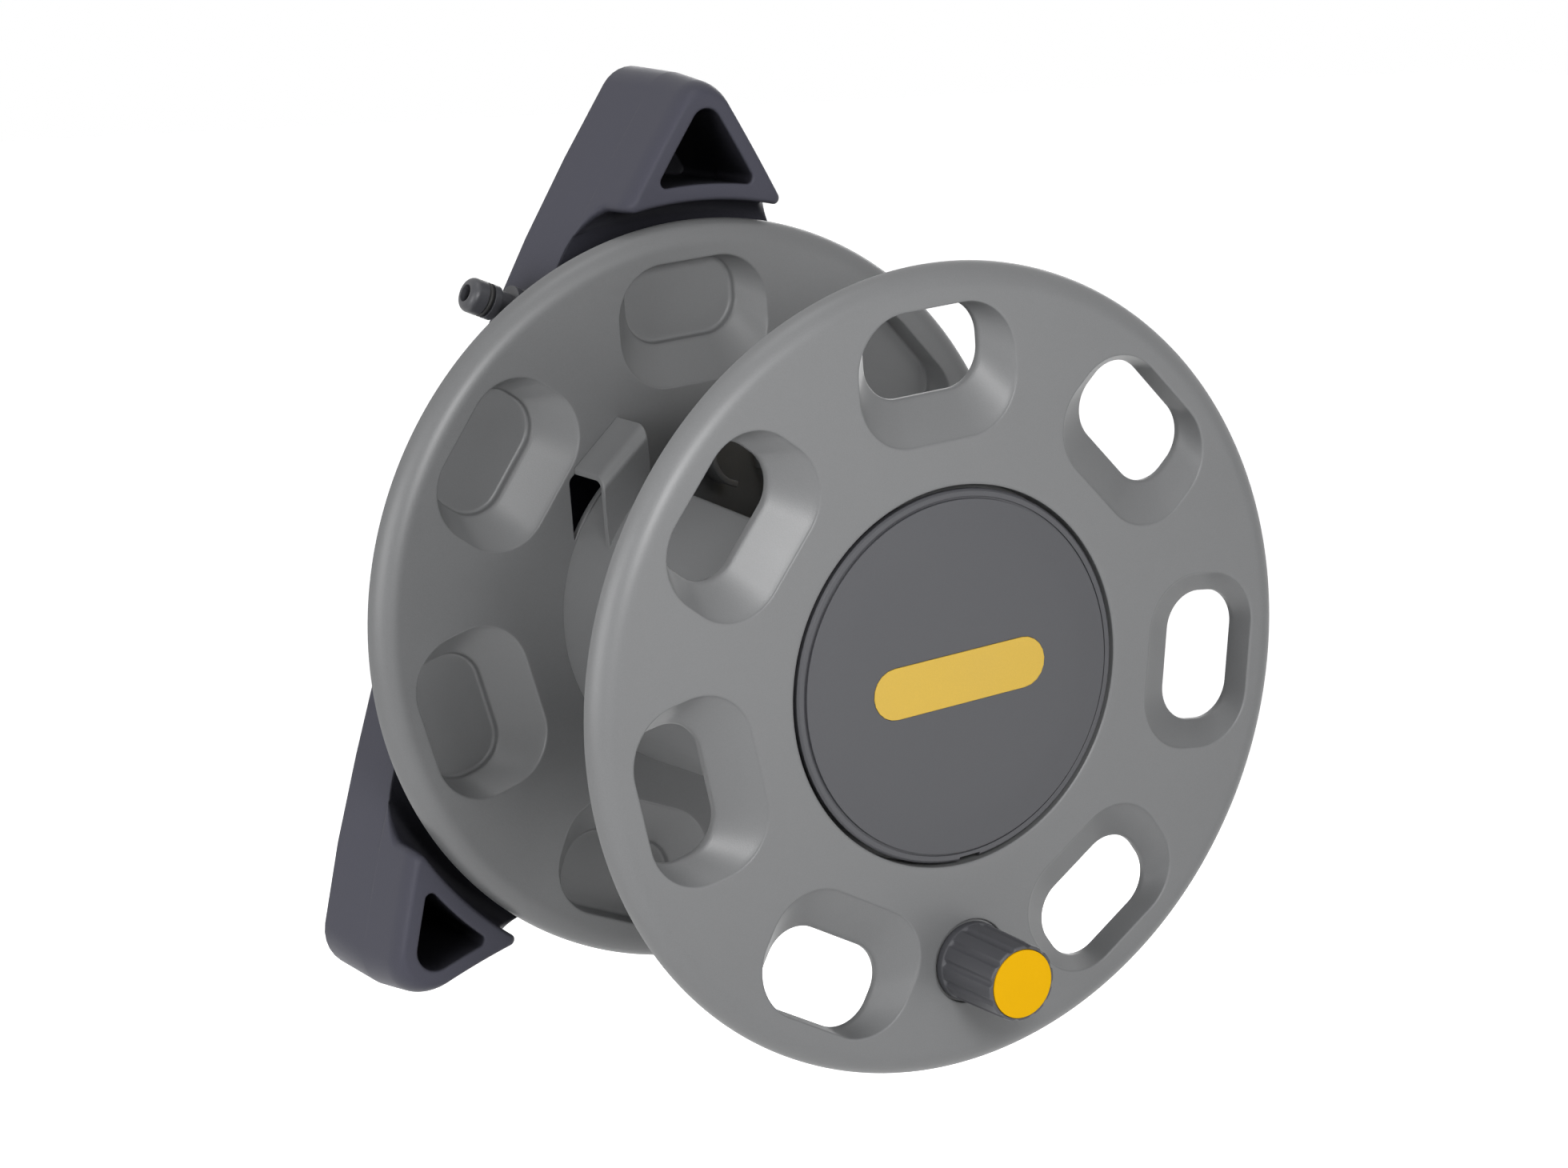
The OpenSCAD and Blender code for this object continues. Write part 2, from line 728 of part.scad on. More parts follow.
// A flange: a disc whose edge rolls back, with funnels moulded into it
module flange_disc(face) turned(concat(
    [[0, face]],
    arc([flange_r - rim_roll, face - rim_roll], rim_roll, 90, 0, arc_steps),
    arc([flange_r - rim_roll, face - rim_roll], rim_roll - flange_wall, 0, 90, arc_steps),
    [[0, face - flange_wall]]));
module funnel_skin(face, floor_t) loft([
    [hole_slot(funnel_wall), face - funnel_depth - floor_t],
    [hole_slot(funnel_wall), face - funnel_depth + funnel_lip],
    [funnel_slot(funnel_wall), face - flange_wall / 2]
]);
module funnel_cut(face, past) loft(concat(
    [
        [hole_slot(0), face - funnel_depth - past],
        [hole_slot(0), face - funnel_depth + funnel_lip]
    ],
    [for (a = [60, 30, 0])
        [funnel_slot(edge_soft * (1 - sin(a))), face - edge_soft * (1 - cos(a))]],
    [[funnel_slot(edge_soft), face + over]]));

module rear_flange() color(grey) on_drum() difference() {
    union() {
        flange_disc(rear_face);
        for (a = rear_angles) rotate([0, 0, -a]) funnel_skin(rear_face, funnel_wall);
        disc(hub_plate_r, rear_face - hub_plate_t, rear_face - flange_wall / 2);
        disc(rear_tube_r, tube_start, rear_face - flange_wall / 2);
        hose_clip();
    }
    for (a = rear_angles) rotate([0, 0, -a]) funnel_cut(rear_face, 0);
    disc(rear_bush_r + fit_gap / 2, tube_start - over, rear_face + over);
    for (a = manifold_angles) at_polar(manifold_screw_r, a)
        translate([0, 0, rear_face]) screw_hole(manifold_screw_l - manifold_flange_t);
    for (a = post_angles) at_polar(post_r, a)
        disc(screw_d / 2 + fit_gap, rear_face - flange_wall - over, rear_face + over);
    hood_window();
}
// The window under the barrel's hood
module hood_window() {
    far = -recess_w / 2 - recess_wall;
    left = far - hood_run - window_past;
    translate([0, 0, rear_face - flange_wall - over]) linear_extrude(height = flange_wall + 2 * over)
        offset(r = window_r, $fn = 32) offset(delta = -window_r) difference() {
            polygon([
                [left, 0],
                [far, 0],
                [far, hood_top(far) - hood_wall],
                [left, hood_top(left) - hood_wall]
            ]);
            circle(r = barrel_rear_r + window_gap);
        }
}
// The open ring that holds the hose's end inside the recess
module hose_clip() translate([clip_ring_x, clip_ring_y, 0]) difference() {
    ring(clip_ring_r, clip_ring_r - clip_ring_t, rear_face - flange_wall / 2, rear_face + clip_ring_l);
    rotate([0, 0, clip_mouth_a]) translate([-clip_mouth / 2, -clip_ring_r - over, rear_face])
        cube([clip_mouth, clip_ring_r, clip_ring_l + over]);
}
module front_flange() color(grey) on_drum() difference() {
    union() {
        flange_disc(front_face);
        for (a = front_angles) rotate([0, 0, -a]) funnel_skin(front_face, 0);
        disc(cup_r + flange_wall, barrel_end, front_face - flange_wall / 2);
        disc(front_tube_r, barrel_end - front_tube_l, cup_floor - flange_wall / 2);
        at_polar(knob_r, knob_a) disc(knob_boss_d / 2, knob_back, knob_seat - knob_sink / 2);
    }
    for (a = front_angles) rotate([0, 0, -a]) funnel_cut(front_face, over);
    disc(cup_r, cup_floor, front_face + over);
    disc(front_bush_r + fit_gap / 2, barrel_end - front_tube_l - over, cup_floor + over);
    for (a = post_angles) at_polar(post_r, a) translate([0, 0, cup_floor]) screw_hole(flange_wall + over);
    at_polar(knob_r, knob_a) {
        disc(knob_d / 2 + knob_ring, knob_seat, front_face + over);
        disc(pin_thread_d / 2 + fit_gap, knob_back - over, front_face);
    }
}

// The barrel: a cone with end plates, an open recess along its top and a hood for the hose
function hood_top(x) =
    let (far = -recess_w / 2 - recess_wall)
    let (slope = (hood_rise + hood_drop) / hood_run)
    barrel_rear_r + hood_rise + (x - far) * slope;
function hood_section(x, wall) =
    let (top = hood_top(x) - wall)
    let (front = rear_face + hood_l - wall)
    let (r = hood_r - wall)
    concat(
        [[recess_floor_h, rear_face - (wall > 0 ? over : 0)], [top, rear_face - (wall > 0 ? over : 0)]],
        arc([top - r, front - r], r, 0, 90, corner_steps),
        [[recess_floor_h, front]]);
module hood() {
    far = -recess_w / 2 - recess_wall;
    mouth = far - hood_run;
    difference() {
        rotate([90, 0, 90]) loft([[hood_section(mouth, 0), mouth], [hood_section(far, 0), far]]);
        rotate([90, 0, 90]) loft([
            [hood_section(mouth - over, hood_wall), mouth - over],
            [hood_section(far + over, hood_wall), far + over]
        ]);
        barrel_cone(barrel_wall / 2);
    }
}
module barrel_cone(inset) translate([0, 0, rear_face - (inset > 0 ? over : 0)])
    cylinder(r1 = barrel_rear_r - inset, r2 = barrel_front_r - inset,
        h = barrel_end - rear_face + (inset > 0 ? 2 * over : 0));
module recess_box(wall) translate([-recess_w / 2 - wall, recess_floor_h - wall, rear_face - over])
    cube([recess_w + 2 * wall, barrel_rear_r, barrel_end - rear_face + 2 * over]);
module hub_barrel() color(grey) on_drum() difference() {
    union() {
        difference() {
            barrel_cone(0);
            difference() {
                barrel_cone(barrel_wall);
                disc(barrel_rear_r, rear_face - 2 * over, rear_face + plate_t);
                disc(barrel_rear_r, barrel_end - plate_t, barrel_end + 2 * over);
                recess_box(recess_wall);
                for (a = post_angles) at_polar(post_r, a) {
                    disc(post_d / 2, rear_face, rear_face + post_l);
                    disc(post_d / 2, barrel_end - post_l, barrel_end);
                }
            }
            disc(plate_bore_r, rear_face - over, rear_face + plate_t + over);
            disc(plate_bore_r, barrel_end - plate_t - over, barrel_end + over);
        }
        hood();
    }
    recess_box(0);
    arm_axis() cylinder(r = arm_d / 2 + arm_gap, h = arm_l);
    for (a = post_angles) at_polar(post_r, a) {
        disc(screw_d / 2 + fit_gap, rear_face - over, rear_face + post_screw_l);
        disc(screw_d / 2 + fit_gap, barrel_end - post_screw_l, barrel_end + over);
    }
}

// Bearings of the drum
module rear_bush() color(white) on_drum() difference() {
    union() {
        disc(rear_bush_r, tube_start, rear_face - fit_gap);
        disc(rear_bush_r + bush_flange_w, bush_start, tube_start);
    }
    disc(journal_r + run_gap, bush_start - over, rear_face + over);
}
module front_bush() color(white) on_drum() difference() {
    union() {
        disc(front_bush_r, barrel_end - front_tube_l, cup_floor);
        disc(front_bush_r + bush_flange_w, cup_floor, bush_front);
    }
    disc(shaft_r + run_gap, barrel_end - front_tube_l - over, bush_front + over);
}

// The turning water joint and the hose tail on its arm
module swivel_manifold() color(white) on_drum() difference() {
    union() {
        disc(manifold_r, rear_face, manifold_top);
        difference() {
            disc(manifold_flange_r, rear_face, rear_face + manifold_flange_t);
            translate([-manifold_flange_r, manifold_r, rear_face - over])
                cube([2 * manifold_flange_r, manifold_flange_r, manifold_flange_t + 2 * over]);
        }
        arm_axis() cylinder(d = arm_d, h = arm_l);
        translate(concat(polar(arm_l, arm_a), port_h)) sphere(d = elbow_d);
        tail_axis() cylinder(d = arm_d, h = elbow_l);
    }
    disc(journal_r + run_gap, rear_face - over, manifold_top + over);
    disc(journal_r + port_t, port_h - port_w / 2, port_h + port_w / 2);
    arm_axis() cylinder(d = arm_bore_d, h = arm_l);
    translate(concat(polar(arm_l, arm_a), port_h)) sphere(d = elbow_bore_d);
    tail_axis() cylinder(d = arm_bore_d, h = elbow_l + over);
    for (a = manifold_angles) at_polar(manifold_screw_r, a)
        disc(screw_d / 2 + fit_gap, rear_face - over, rear_face + manifold_flange_t + over);
}
module manifold_screws() color(steel) on_drum()
    for (a = manifold_angles) at_polar(manifold_screw_r, a)
        translate([0, 0, rear_face + manifold_flange_t]) screw(manifold_screw_l);
module hose_tail() {
    tail_r = tail_d / 2;
    bore = tail_bore_d / 2;
    plug = arm_bore_d / 2 - fit_gap;
    start = elbow_l + tail_collar_t;
    end = start + tail_l;
    color(brass) on_drum() tail_axis() turned([
        [bore, elbow_l - tail_plug_l],
        [plug, elbow_l - tail_plug_l],
        [plug, elbow_l],
        [tail_collar_d / 2, elbow_l],
        [tail_collar_d / 2, start],
        [tail_r, start],
        [tail_r, end - tail_nose_l],
        [tail_r - tail_nose, end - tail_end],
        [tail_r - tail_nose, end],
        [bore, end]
    ]);
}
module barrel_screws() color(steel) on_drum()
    for (a = post_angles) at_polar(post_r, a)
        translate([0, 0, rear_face - flange_wall]) mirror([0, 0, 1]) screw(post_screw_l);
module flange_screws() color(steel) on_drum()
    for (a = post_angles) at_polar(post_r, a)
        translate([0, 0, cup_floor]) screw(post_screw_l);

// The cap over the drum's front end and its plain plate
module hub_cap() {
    top = front_face + cap_crown;
    line_r = cap_r - cap_line;
    skirt_r = skirt_in_r + cap_skirt_t;
    color(dark) on_drum() difference() {
        turned([
            [0, top],
            [line_r - cap_slope, top],
            [line_r, front_face + cap_line_t],
            [line_r, front_face - cap_line_t],
            [line_r + cap_line_w, front_face - cap_line_t],
            [line_r + cap_line_w, front_face],
            [cap_r - cap_line_w, front_face],
            [cap_r, front_face - cap_line_w],
            [cap_r, front_face - cap_lip],
            [skirt_r, front_face - cap_lip],
            [skirt_r, cup_floor],
            [skirt_in_r, cup_floor],
            [skirt_in_r, front_face - cap_under],
            [0, front_face - cap_under]
        ]);
        translate([0, 0, top - badge_sink]) linear_extrude(height = badge_sink + over)
            polygon(pill(badge_l + 2 * fit_gap, badge_h + 2 * fit_gap));
        translate([-cap_notch_w / 2, -cap_r - over, front_face - cap_lip - over])
            cube([cap_notch_w, cap_notch_t + over, cap_lip + 2 * over]);
    }
}
module badge_plate() color(yellow) on_drum()
    translate([0, 0, front_face + cap_crown - badge_sink])
        linear_extrude(height = badge_sink + badge_proud) polygon(pill(badge_l, badge_h));

// The winding knob on its pin
module crank_pin() color(steel) at_knob() difference() {
    union() {
        disc(pin_r, knob_seat, pin_top);
        disc(pin_thread_d / 2, knob_back - pin_nut_t - over, knob_seat);
    }
    disc(grip_screw_d / 2 + fit_gap, pin_top - grip_screw_l - over, pin_top + over);
}
module crank_nut() color(steel) at_knob() difference() {
    translate([0, 0, knob_back - pin_nut_t]) cylinder(d = pin_nut_d, h = pin_nut_t, $fn = hex);
    disc(pin_thread_d / 2 + fit_gap, knob_back - pin_nut_t - over, knob_back + over);
}
module grip_washer() color(steel) at_knob()
    ring(grip_washer_d / 2, grip_screw_d / 2 + fit_gap, pin_top, washer_top);
module grip_screw() color(steel) at_knob() {
    disc(grip_screw_d / 2, pin_top - grip_screw_l, washer_top);
    disc(grip_head_d / 2, washer_top, washer_top + grip_head_t);
}
module handle_grip() {
    lean = atan((knob_d / 2 - knob_end_r) / knob_l);
    color(dark) at_knob() difference() {
        turned([
            [0, grip_start],
            [knob_d / 2 - knob_edge, grip_start],
            [knob_d / 2, grip_start + knob_edge],
            [knob_d / 2, grip_start + knob_collar],
            [knob_d / 2 - knob_step, grip_start + knob_collar],
            [knob_end_r, grip_end - knob_edge],
            [knob_end_r - knob_edge, grip_end],
            [0, grip_end]
        ]);
        disc(pin_r + run_gap, grip_start - over, grip_end);
        disc(room_r, pin_top - knob_play, grip_end + over);
        disc(end_cap_r + fit_gap, grip_end - end_cap_t, grip_end + over);
        for (i = [0:flute_count - 1]) rotate([0, 0, 360 * i / flute_count])
            translate([knob_d / 2 - knob_step - flute_t + flute_r, 0, grip_start + knob_collar])
                rotate([0, -lean, 0]) cylinder(r = flute_r, h = knob_l);
    }
}
module handle_cap() color(yellow) at_knob() {
    disc(end_cap_r, grip_end - end_cap_t, grip_end + end_cap_proud);
    ring(room_r - fit_gap, room_r - end_plug_t, grip_end - end_cap_t - end_plug_l, grip_end);
}

wall_bracket();
spindle();
spindle_screws();
spindle_seals();
thrust_washer();
end_washer();
retaining_clip();
inlet_pipe();
inlet_nipple();
inlet_nut();
inlet_seal();
rear_flange();
hub_barrel();
front_flange();
rear_bush();
front_bush();
swivel_manifold();
manifold_screws();
hose_tail();
barrel_screws();
flange_screws();
hub_cap();
badge_plate();
crank_pin();
crank_nut();
grip_washer();
grip_screw();
handle_grip();
handle_cap();
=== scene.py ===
import math

import bmesh
import bpy
from bpy.props import FloatProperty, FloatVectorProperty, PointerProperty
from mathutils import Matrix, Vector
from mathutils.geometry import delaunay_2d_cdt


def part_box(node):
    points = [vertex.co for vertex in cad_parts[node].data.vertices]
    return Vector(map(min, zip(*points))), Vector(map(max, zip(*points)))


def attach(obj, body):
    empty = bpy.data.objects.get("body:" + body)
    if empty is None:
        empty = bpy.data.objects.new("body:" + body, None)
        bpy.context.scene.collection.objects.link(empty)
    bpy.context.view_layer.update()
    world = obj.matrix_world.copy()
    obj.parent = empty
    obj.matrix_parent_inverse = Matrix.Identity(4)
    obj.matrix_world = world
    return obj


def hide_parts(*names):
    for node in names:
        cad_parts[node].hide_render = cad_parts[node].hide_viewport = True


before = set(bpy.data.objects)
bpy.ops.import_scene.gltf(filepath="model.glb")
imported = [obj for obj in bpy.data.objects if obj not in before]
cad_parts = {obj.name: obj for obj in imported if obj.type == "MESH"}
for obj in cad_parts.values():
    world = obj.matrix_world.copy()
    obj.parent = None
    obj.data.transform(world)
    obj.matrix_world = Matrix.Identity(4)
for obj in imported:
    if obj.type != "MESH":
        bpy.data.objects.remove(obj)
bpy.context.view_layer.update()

bl_info = {
    "name": "Wall Hose Reel",
    "version": (1, 0, 0),
    "blender": (4, 5, 0),
    "location": "View3D > Sidebar > Hose Reel",
    "description": "Dresses a wall mounted hose reel and sets up its studio",
    "category": "Object",
}

MM = 0.001
# How far the drum stands turned at rest, in degrees
DRUM_TURN = 5.0
# Segments of a full round, and points of one corner of a hand hole
ROUND = 256
CORNER = 22
# Holes or pockets of a flange, and the angle between two holes of the front one
HOLES = 7
HOLE_PITCH = 49.5
# Edges that turn by more than this stay sharp: on turned and lofted shapes, and on copies
LOFT_SHARP = math.radians(38)
COPY_SHARP = math.radians(30)


def mm(value):
    """A frame length in millimetres."""
    return value / MM


FRONT_FACE = -mm(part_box("front_flange")[0].y)
BARREL_BACK = -mm(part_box("hub_barrel")[1].y)
BARREL_FRONT = -mm(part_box("hub_barrel")[0].y)


class ReelSizes(bpy.types.PropertyGroup):
    """Sizes of the moulded drum, in millimetres."""

    flange_r: FloatProperty(name="Flange radius", description="Outer radius of both flanges", default=150.0)
    rim_roll: FloatProperty(name="Rim roll", description="Radius of the rolled rim", default=9.0)
    wall: FloatProperty(name="Wall", description="Thickness of the flanges", default=3.0)
    hole_w: FloatProperty(name="Hole width", description="Width of a hand hole along the rim", default=50.0)
    hole_h: FloatProperty(name="Hole height", description="Height of a hand hole across the rim", default=32.0)
    hole_r: FloatProperty(name="Hole corner", description="Corner radius of a hand hole", default=14.0)
    hole_mid: FloatProperty(name="Hole circle", description="Radius of the circle of the holes", default=119.3)
    funnel_w: FloatProperty(name="Funnel width", description="Width of a funnel at the face", default=67.0)
    funnel_h: FloatProperty(name="Funnel height", description="Height of a funnel at the face", default=48.3)
    funnel_r: FloatProperty(name="Funnel corner", description="Corner radius of a funnel", default=20.8)
    funnel_mid: FloatProperty(name="Funnel circle", description="Radius of the funnels' circle", default=111.45)


class ReelColours(bpy.types.PropertyGroup):
    """Colours of the reel's plastics and fittings."""

    flange: FloatVectorProperty(
        name="Drum grey", description="Moulded drum", subtype="COLOR", default=(0.198, 0.201, 0.205))
    bracket: FloatVectorProperty(
        name="Bracket grey", description="Moulded bracket", subtype="COLOR", default=(0.083, 0.083, 0.108))
    cap: FloatVectorProperty(
        name="Cap grey", description="Hub cap and inlet", subtype="COLOR", default=(0.068, 0.069, 0.077))
    knob: FloatVectorProperty(
        name="Knob grey", description="Winding knob", subtype="COLOR", default=(0.066, 0.067, 0.075))
    accent: FloatVectorProperty(
        name="Yellow", description="End cap of the knob", subtype="COLOR", default=(1.0, 0.53, 0.0))
    plate: FloatVectorProperty(
        name="Plate yellow", description="Plain plate of the cap", subtype="COLOR", default=(0.73, 0.475, 0.055))


class StudioSettings(bpy.types.PropertyGroup):
    """Light and camera of the studio."""

    key: FloatProperty(name="Key light", description="Power of the key light", default=3.7, unit="POWER")
    near: FloatProperty(name="Near light", description="Power of the near light", default=3.6, unit="POWER")
    side: FloatProperty(name="Side light", description="Power of the side light", default=7.6, unit="POWER")
    low: FloatProperty(name="Low light", description="Power of the low light", default=1.7, unit="POWER")
    top: FloatProperty(name="Top light", description="Power of the top light", default=1.7, unit="POWER")
    back: FloatProperty(name="Back light", description="Power of the back light", default=9.0, unit="POWER")
    ambient: FloatProperty(name="Ambient", description="Strength of the room's light", default=0.04)
    lens: FloatProperty(name="Lens", description="Focal length", default=82.2, unit="CAMERA")


# Shapes in the drum's own frame: x to the right, y up, z forward from the wall, in millimetres


def polar(r, a):
    """A point at a radius and an angle clockwise from the top."""
    return r * math.sin(math.radians(a)), r * math.cos(math.radians(a))


def to_row(x, y, z, turn=DRUM_TURN):
    """A point of the drum's frame in the upright frame, in metres."""
    c, s = math.cos(math.radians(turn)), math.sin(math.radians(turn))
    return ((x * c - y * s) * MM, -z * MM, (x * s + y * c) * MM)


def spin(p, a):
    """A point turned clockwise by an angle."""
    c, s = math.cos(math.radians(a)), math.sin(math.radians(a))
    return p[0] * c + p[1] * s, -p[0] * s + p[1] * c


def circle(r, n=ROUND, centre=(0.0, 0.0)):
    """Points of a circle, clockwise from the top."""
    return [(centre[0] + x, centre[1] + y) for x, y in (polar(r, 360 * i / n) for i in range(n))]


def slot(w, h, r, mid, grow):
    """A rectangle with round corners about the point (0, mid)."""
    points = []
    for cx, cy, a0 in ((1, 1, 90), (1, -1, 0), (-1, -1, -90), (-1, 1, -180)):
        for i in range(CORNER):
            a = math.radians(a0 - 90 * i / (CORNER - 1))
            points.append((
                cx * (w / 2 - r) + (r + grow) * math.cos(a),
                mid + cy * (h / 2 - r) + (r + grow) * math.sin(a),
            ))
    return points


def inside(p, loop):
    """True if a point lies inside a closed outline."""
    odd = False
    x, y = p
    for i, (x1, y1) in enumerate(loop):
        x0, y0 = loop[i - 1]
        if (y0 > y) != (y1 > y) and x < x0 + (x1 - x0) * (y - y0) / (y1 - y0):
            odd = not odd
    return odd


def arc(cx, cy, r, a0, a1, n):
    """Points of an arc, with both ends."""
    angles = [math.radians(a0 + (a1 - a0) * i / n) for i in range(n + 1)]
    return [(cx + r * math.cos(a), cy + r * math.sin(a)) for a in angles]


class Shell:
    """A mesh made of rings of points, the bands between them and flat fills."""

    def __init__(self):
        self.points = []
        self.faces = []

    def ring(self, outline, z):
        """Adds a ring of points at the height z."""
        start = len(self.points)
        self.points.extend((x, y, z) for x, y in outline)
        return list(range(start, len(self.points)))

    def band(self, a, b):
        """Joins two rings of the same count."""
        n = len(a)
        for i in range(n):
            j = (i + 1) % n
            self.faces.append((a[i], a[j], b[j], b[i]))

    def bands(self, rings):
        """Joins a row of rings."""
        for a, b in zip(rings, rings[1:]):
            self.band(a, b)

    def turned(self, profile, n=ROUND, centre=(0.0, 0.0)):
        """Turns a profile of (radius, z) about an axis and returns its first and last ring."""
        rings = [self.ring(circle(r, n, centre), z) for r, z in profile]
        self.bands(rings)
        return rings[0], rings[-1]

    def fill(self, outer, holes):
        """Fills a flat region between an outer ring and its holes."""
        rings = [outer] + holes
        index = [i for ring in rings for i in ring]
        flat = [Vector(self.points[i][:2]) for i in index]
        edges, base = [], 0
        for ring in rings:
            n = len(ring)
            edges.extend((base + i, base + (i + 1) % n) for i in range(n))
            base += n
        verts, _, tris, origin, _, _ = delaunay_2d_cdt(flat, edges, [], 0, 1e-7)
        loops = [[self.points[i][:2] for i in ring] for ring in rings]
        for tri in tris:
            centre = sum((verts[i] for i in tri), Vector((0, 0))) / len(tri)
            if inside(centre, loops[0]) and not any(inside(centre, loop) for loop in loops[1:]):
                self.faces.append(tuple(index[origin[i][0]] for i in tri))

    def build(self, name, turn=DRUM_TURN):
        """Makes the object, with its faces turned outwards."""
        mesh = bpy.data.meshes.new(name)
        mesh.from_pydata([to_row(*p, turn) for p in self.points], [], self.faces)
        return finished(name, mesh)


def finished(name, mesh, sharp=LOFT_SHARP):
    """Cleans a mesh, turns its faces outwards, shades it and links its object."""
    bm = bmesh.new()
    bm.from_mesh(mesh)
    bmesh.ops.remove_doubles(bm, verts=bm.verts, dist=2e-7)
    bmesh.ops.dissolve_degenerate(bm, dist=1e-7, edges=bm.edges)
    bmesh.ops.recalc_face_normals(bm, faces=bm.faces)
    for face in bm.faces:
        face.smooth = True
    for edge in bm.edges:
        edge.smooth = len(edge.link_faces) == 2 and edge.calc_face_angle(0.0) < sharp
    bm.to_mesh(mesh)
    bm.free()
    obj = bpy.data.objects.new(name, mesh)
    bpy.context.scene.collection.objects.link(obj)
    weighted = obj.modifiers.new("weighted", "WEIGHTED_NORMAL")
    weighted.mode = "FACE_AREA_WITH_ANGLE"
    weighted.weight = 90
    weighted.keep_sharp = True
    return obj


def in_drum(v):
    """A point of the upright frame, in metres, in the drum's frame, in millimetres."""
    c, s = math.cos(math.radians(DRUM_TURN)), math.sin(math.radians(DRUM_TURN))
    return mm(v.x * c + v.z * s), mm(-v.x * s + v.z * c), -mm(v.y)


def soften(mesh, picks):
    """Rounds picked edges: each pick is a test of an edge, a radius in millimetres and its steps."""
    bm = bmesh.new()
    bm.from_mesh(mesh)
    bmesh.ops.remove_doubles(bm, verts=bm.verts, dist=1e-6)
    bmesh.ops.dissolve_limit(bm, angle_limit=math.radians(0.6), verts=bm.verts, edges=bm.edges)
    for test, radius, steps in picks:
        edges = [e for e in bm.edges if len(e.link_faces) == 2 and e.calc_face_angle(0.0) > 0.6 and test(e)]
        bmesh.ops.bevel(
            bm, geom=edges, offset=radius * MM, offset_type="OFFSET", segments=steps, profile=0.5,
            affect="EDGES", clamp_overlap=True)
    bm.to_mesh(mesh)
    bm.free()


def dressed(node, name, picks=()):
    """A smooth-shaded visual copy of a frame node, with its picked edges rounded."""
    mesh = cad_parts[node].data.copy()
    mesh.materials.clear()
    if mesh.has_custom_normals:
        mesh.attributes.remove(mesh.attributes["custom_normal"])
    if picks:
        soften(mesh, picks)
    return finished(name, mesh, COPY_SHARP)


def settle(obj, body, node, material):
    """Gives a piece its material and its body, and hides the node that it stands for."""
    obj.data.materials.clear()
    obj.data.materials.append(material)
    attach(obj, body)
    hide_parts(node)
    return obj


# Finishes

# Scale and detail of the clouds that mottle the plastic, and the share of fine specks over them
CLOUD_SCALE, CLOUD_DETAIL, SPECK_DETAIL, SPECK_SHARE = 26.0, 5.0, 3.0, 0.55
# Depth of the grain in metres, and how far the roughness strays from its mean
GRAIN_DEPTH, ROUGH_SPREAD = 0.0002, 0.06
# How fast the painted shade darkens deep corners, recesses and gaps, and the near black tone that it darkens them
# to
PAINTED_SHADE_POWER, PAINTED_SHADE_TONE = 1.8, (0.004, 0.004, 0.005, 1.0)


def shade(colour, factor):
    """A colour made lighter or darker."""
    return tuple(min(1.0, c * factor) for c in colour[:3]) + (1.0,)


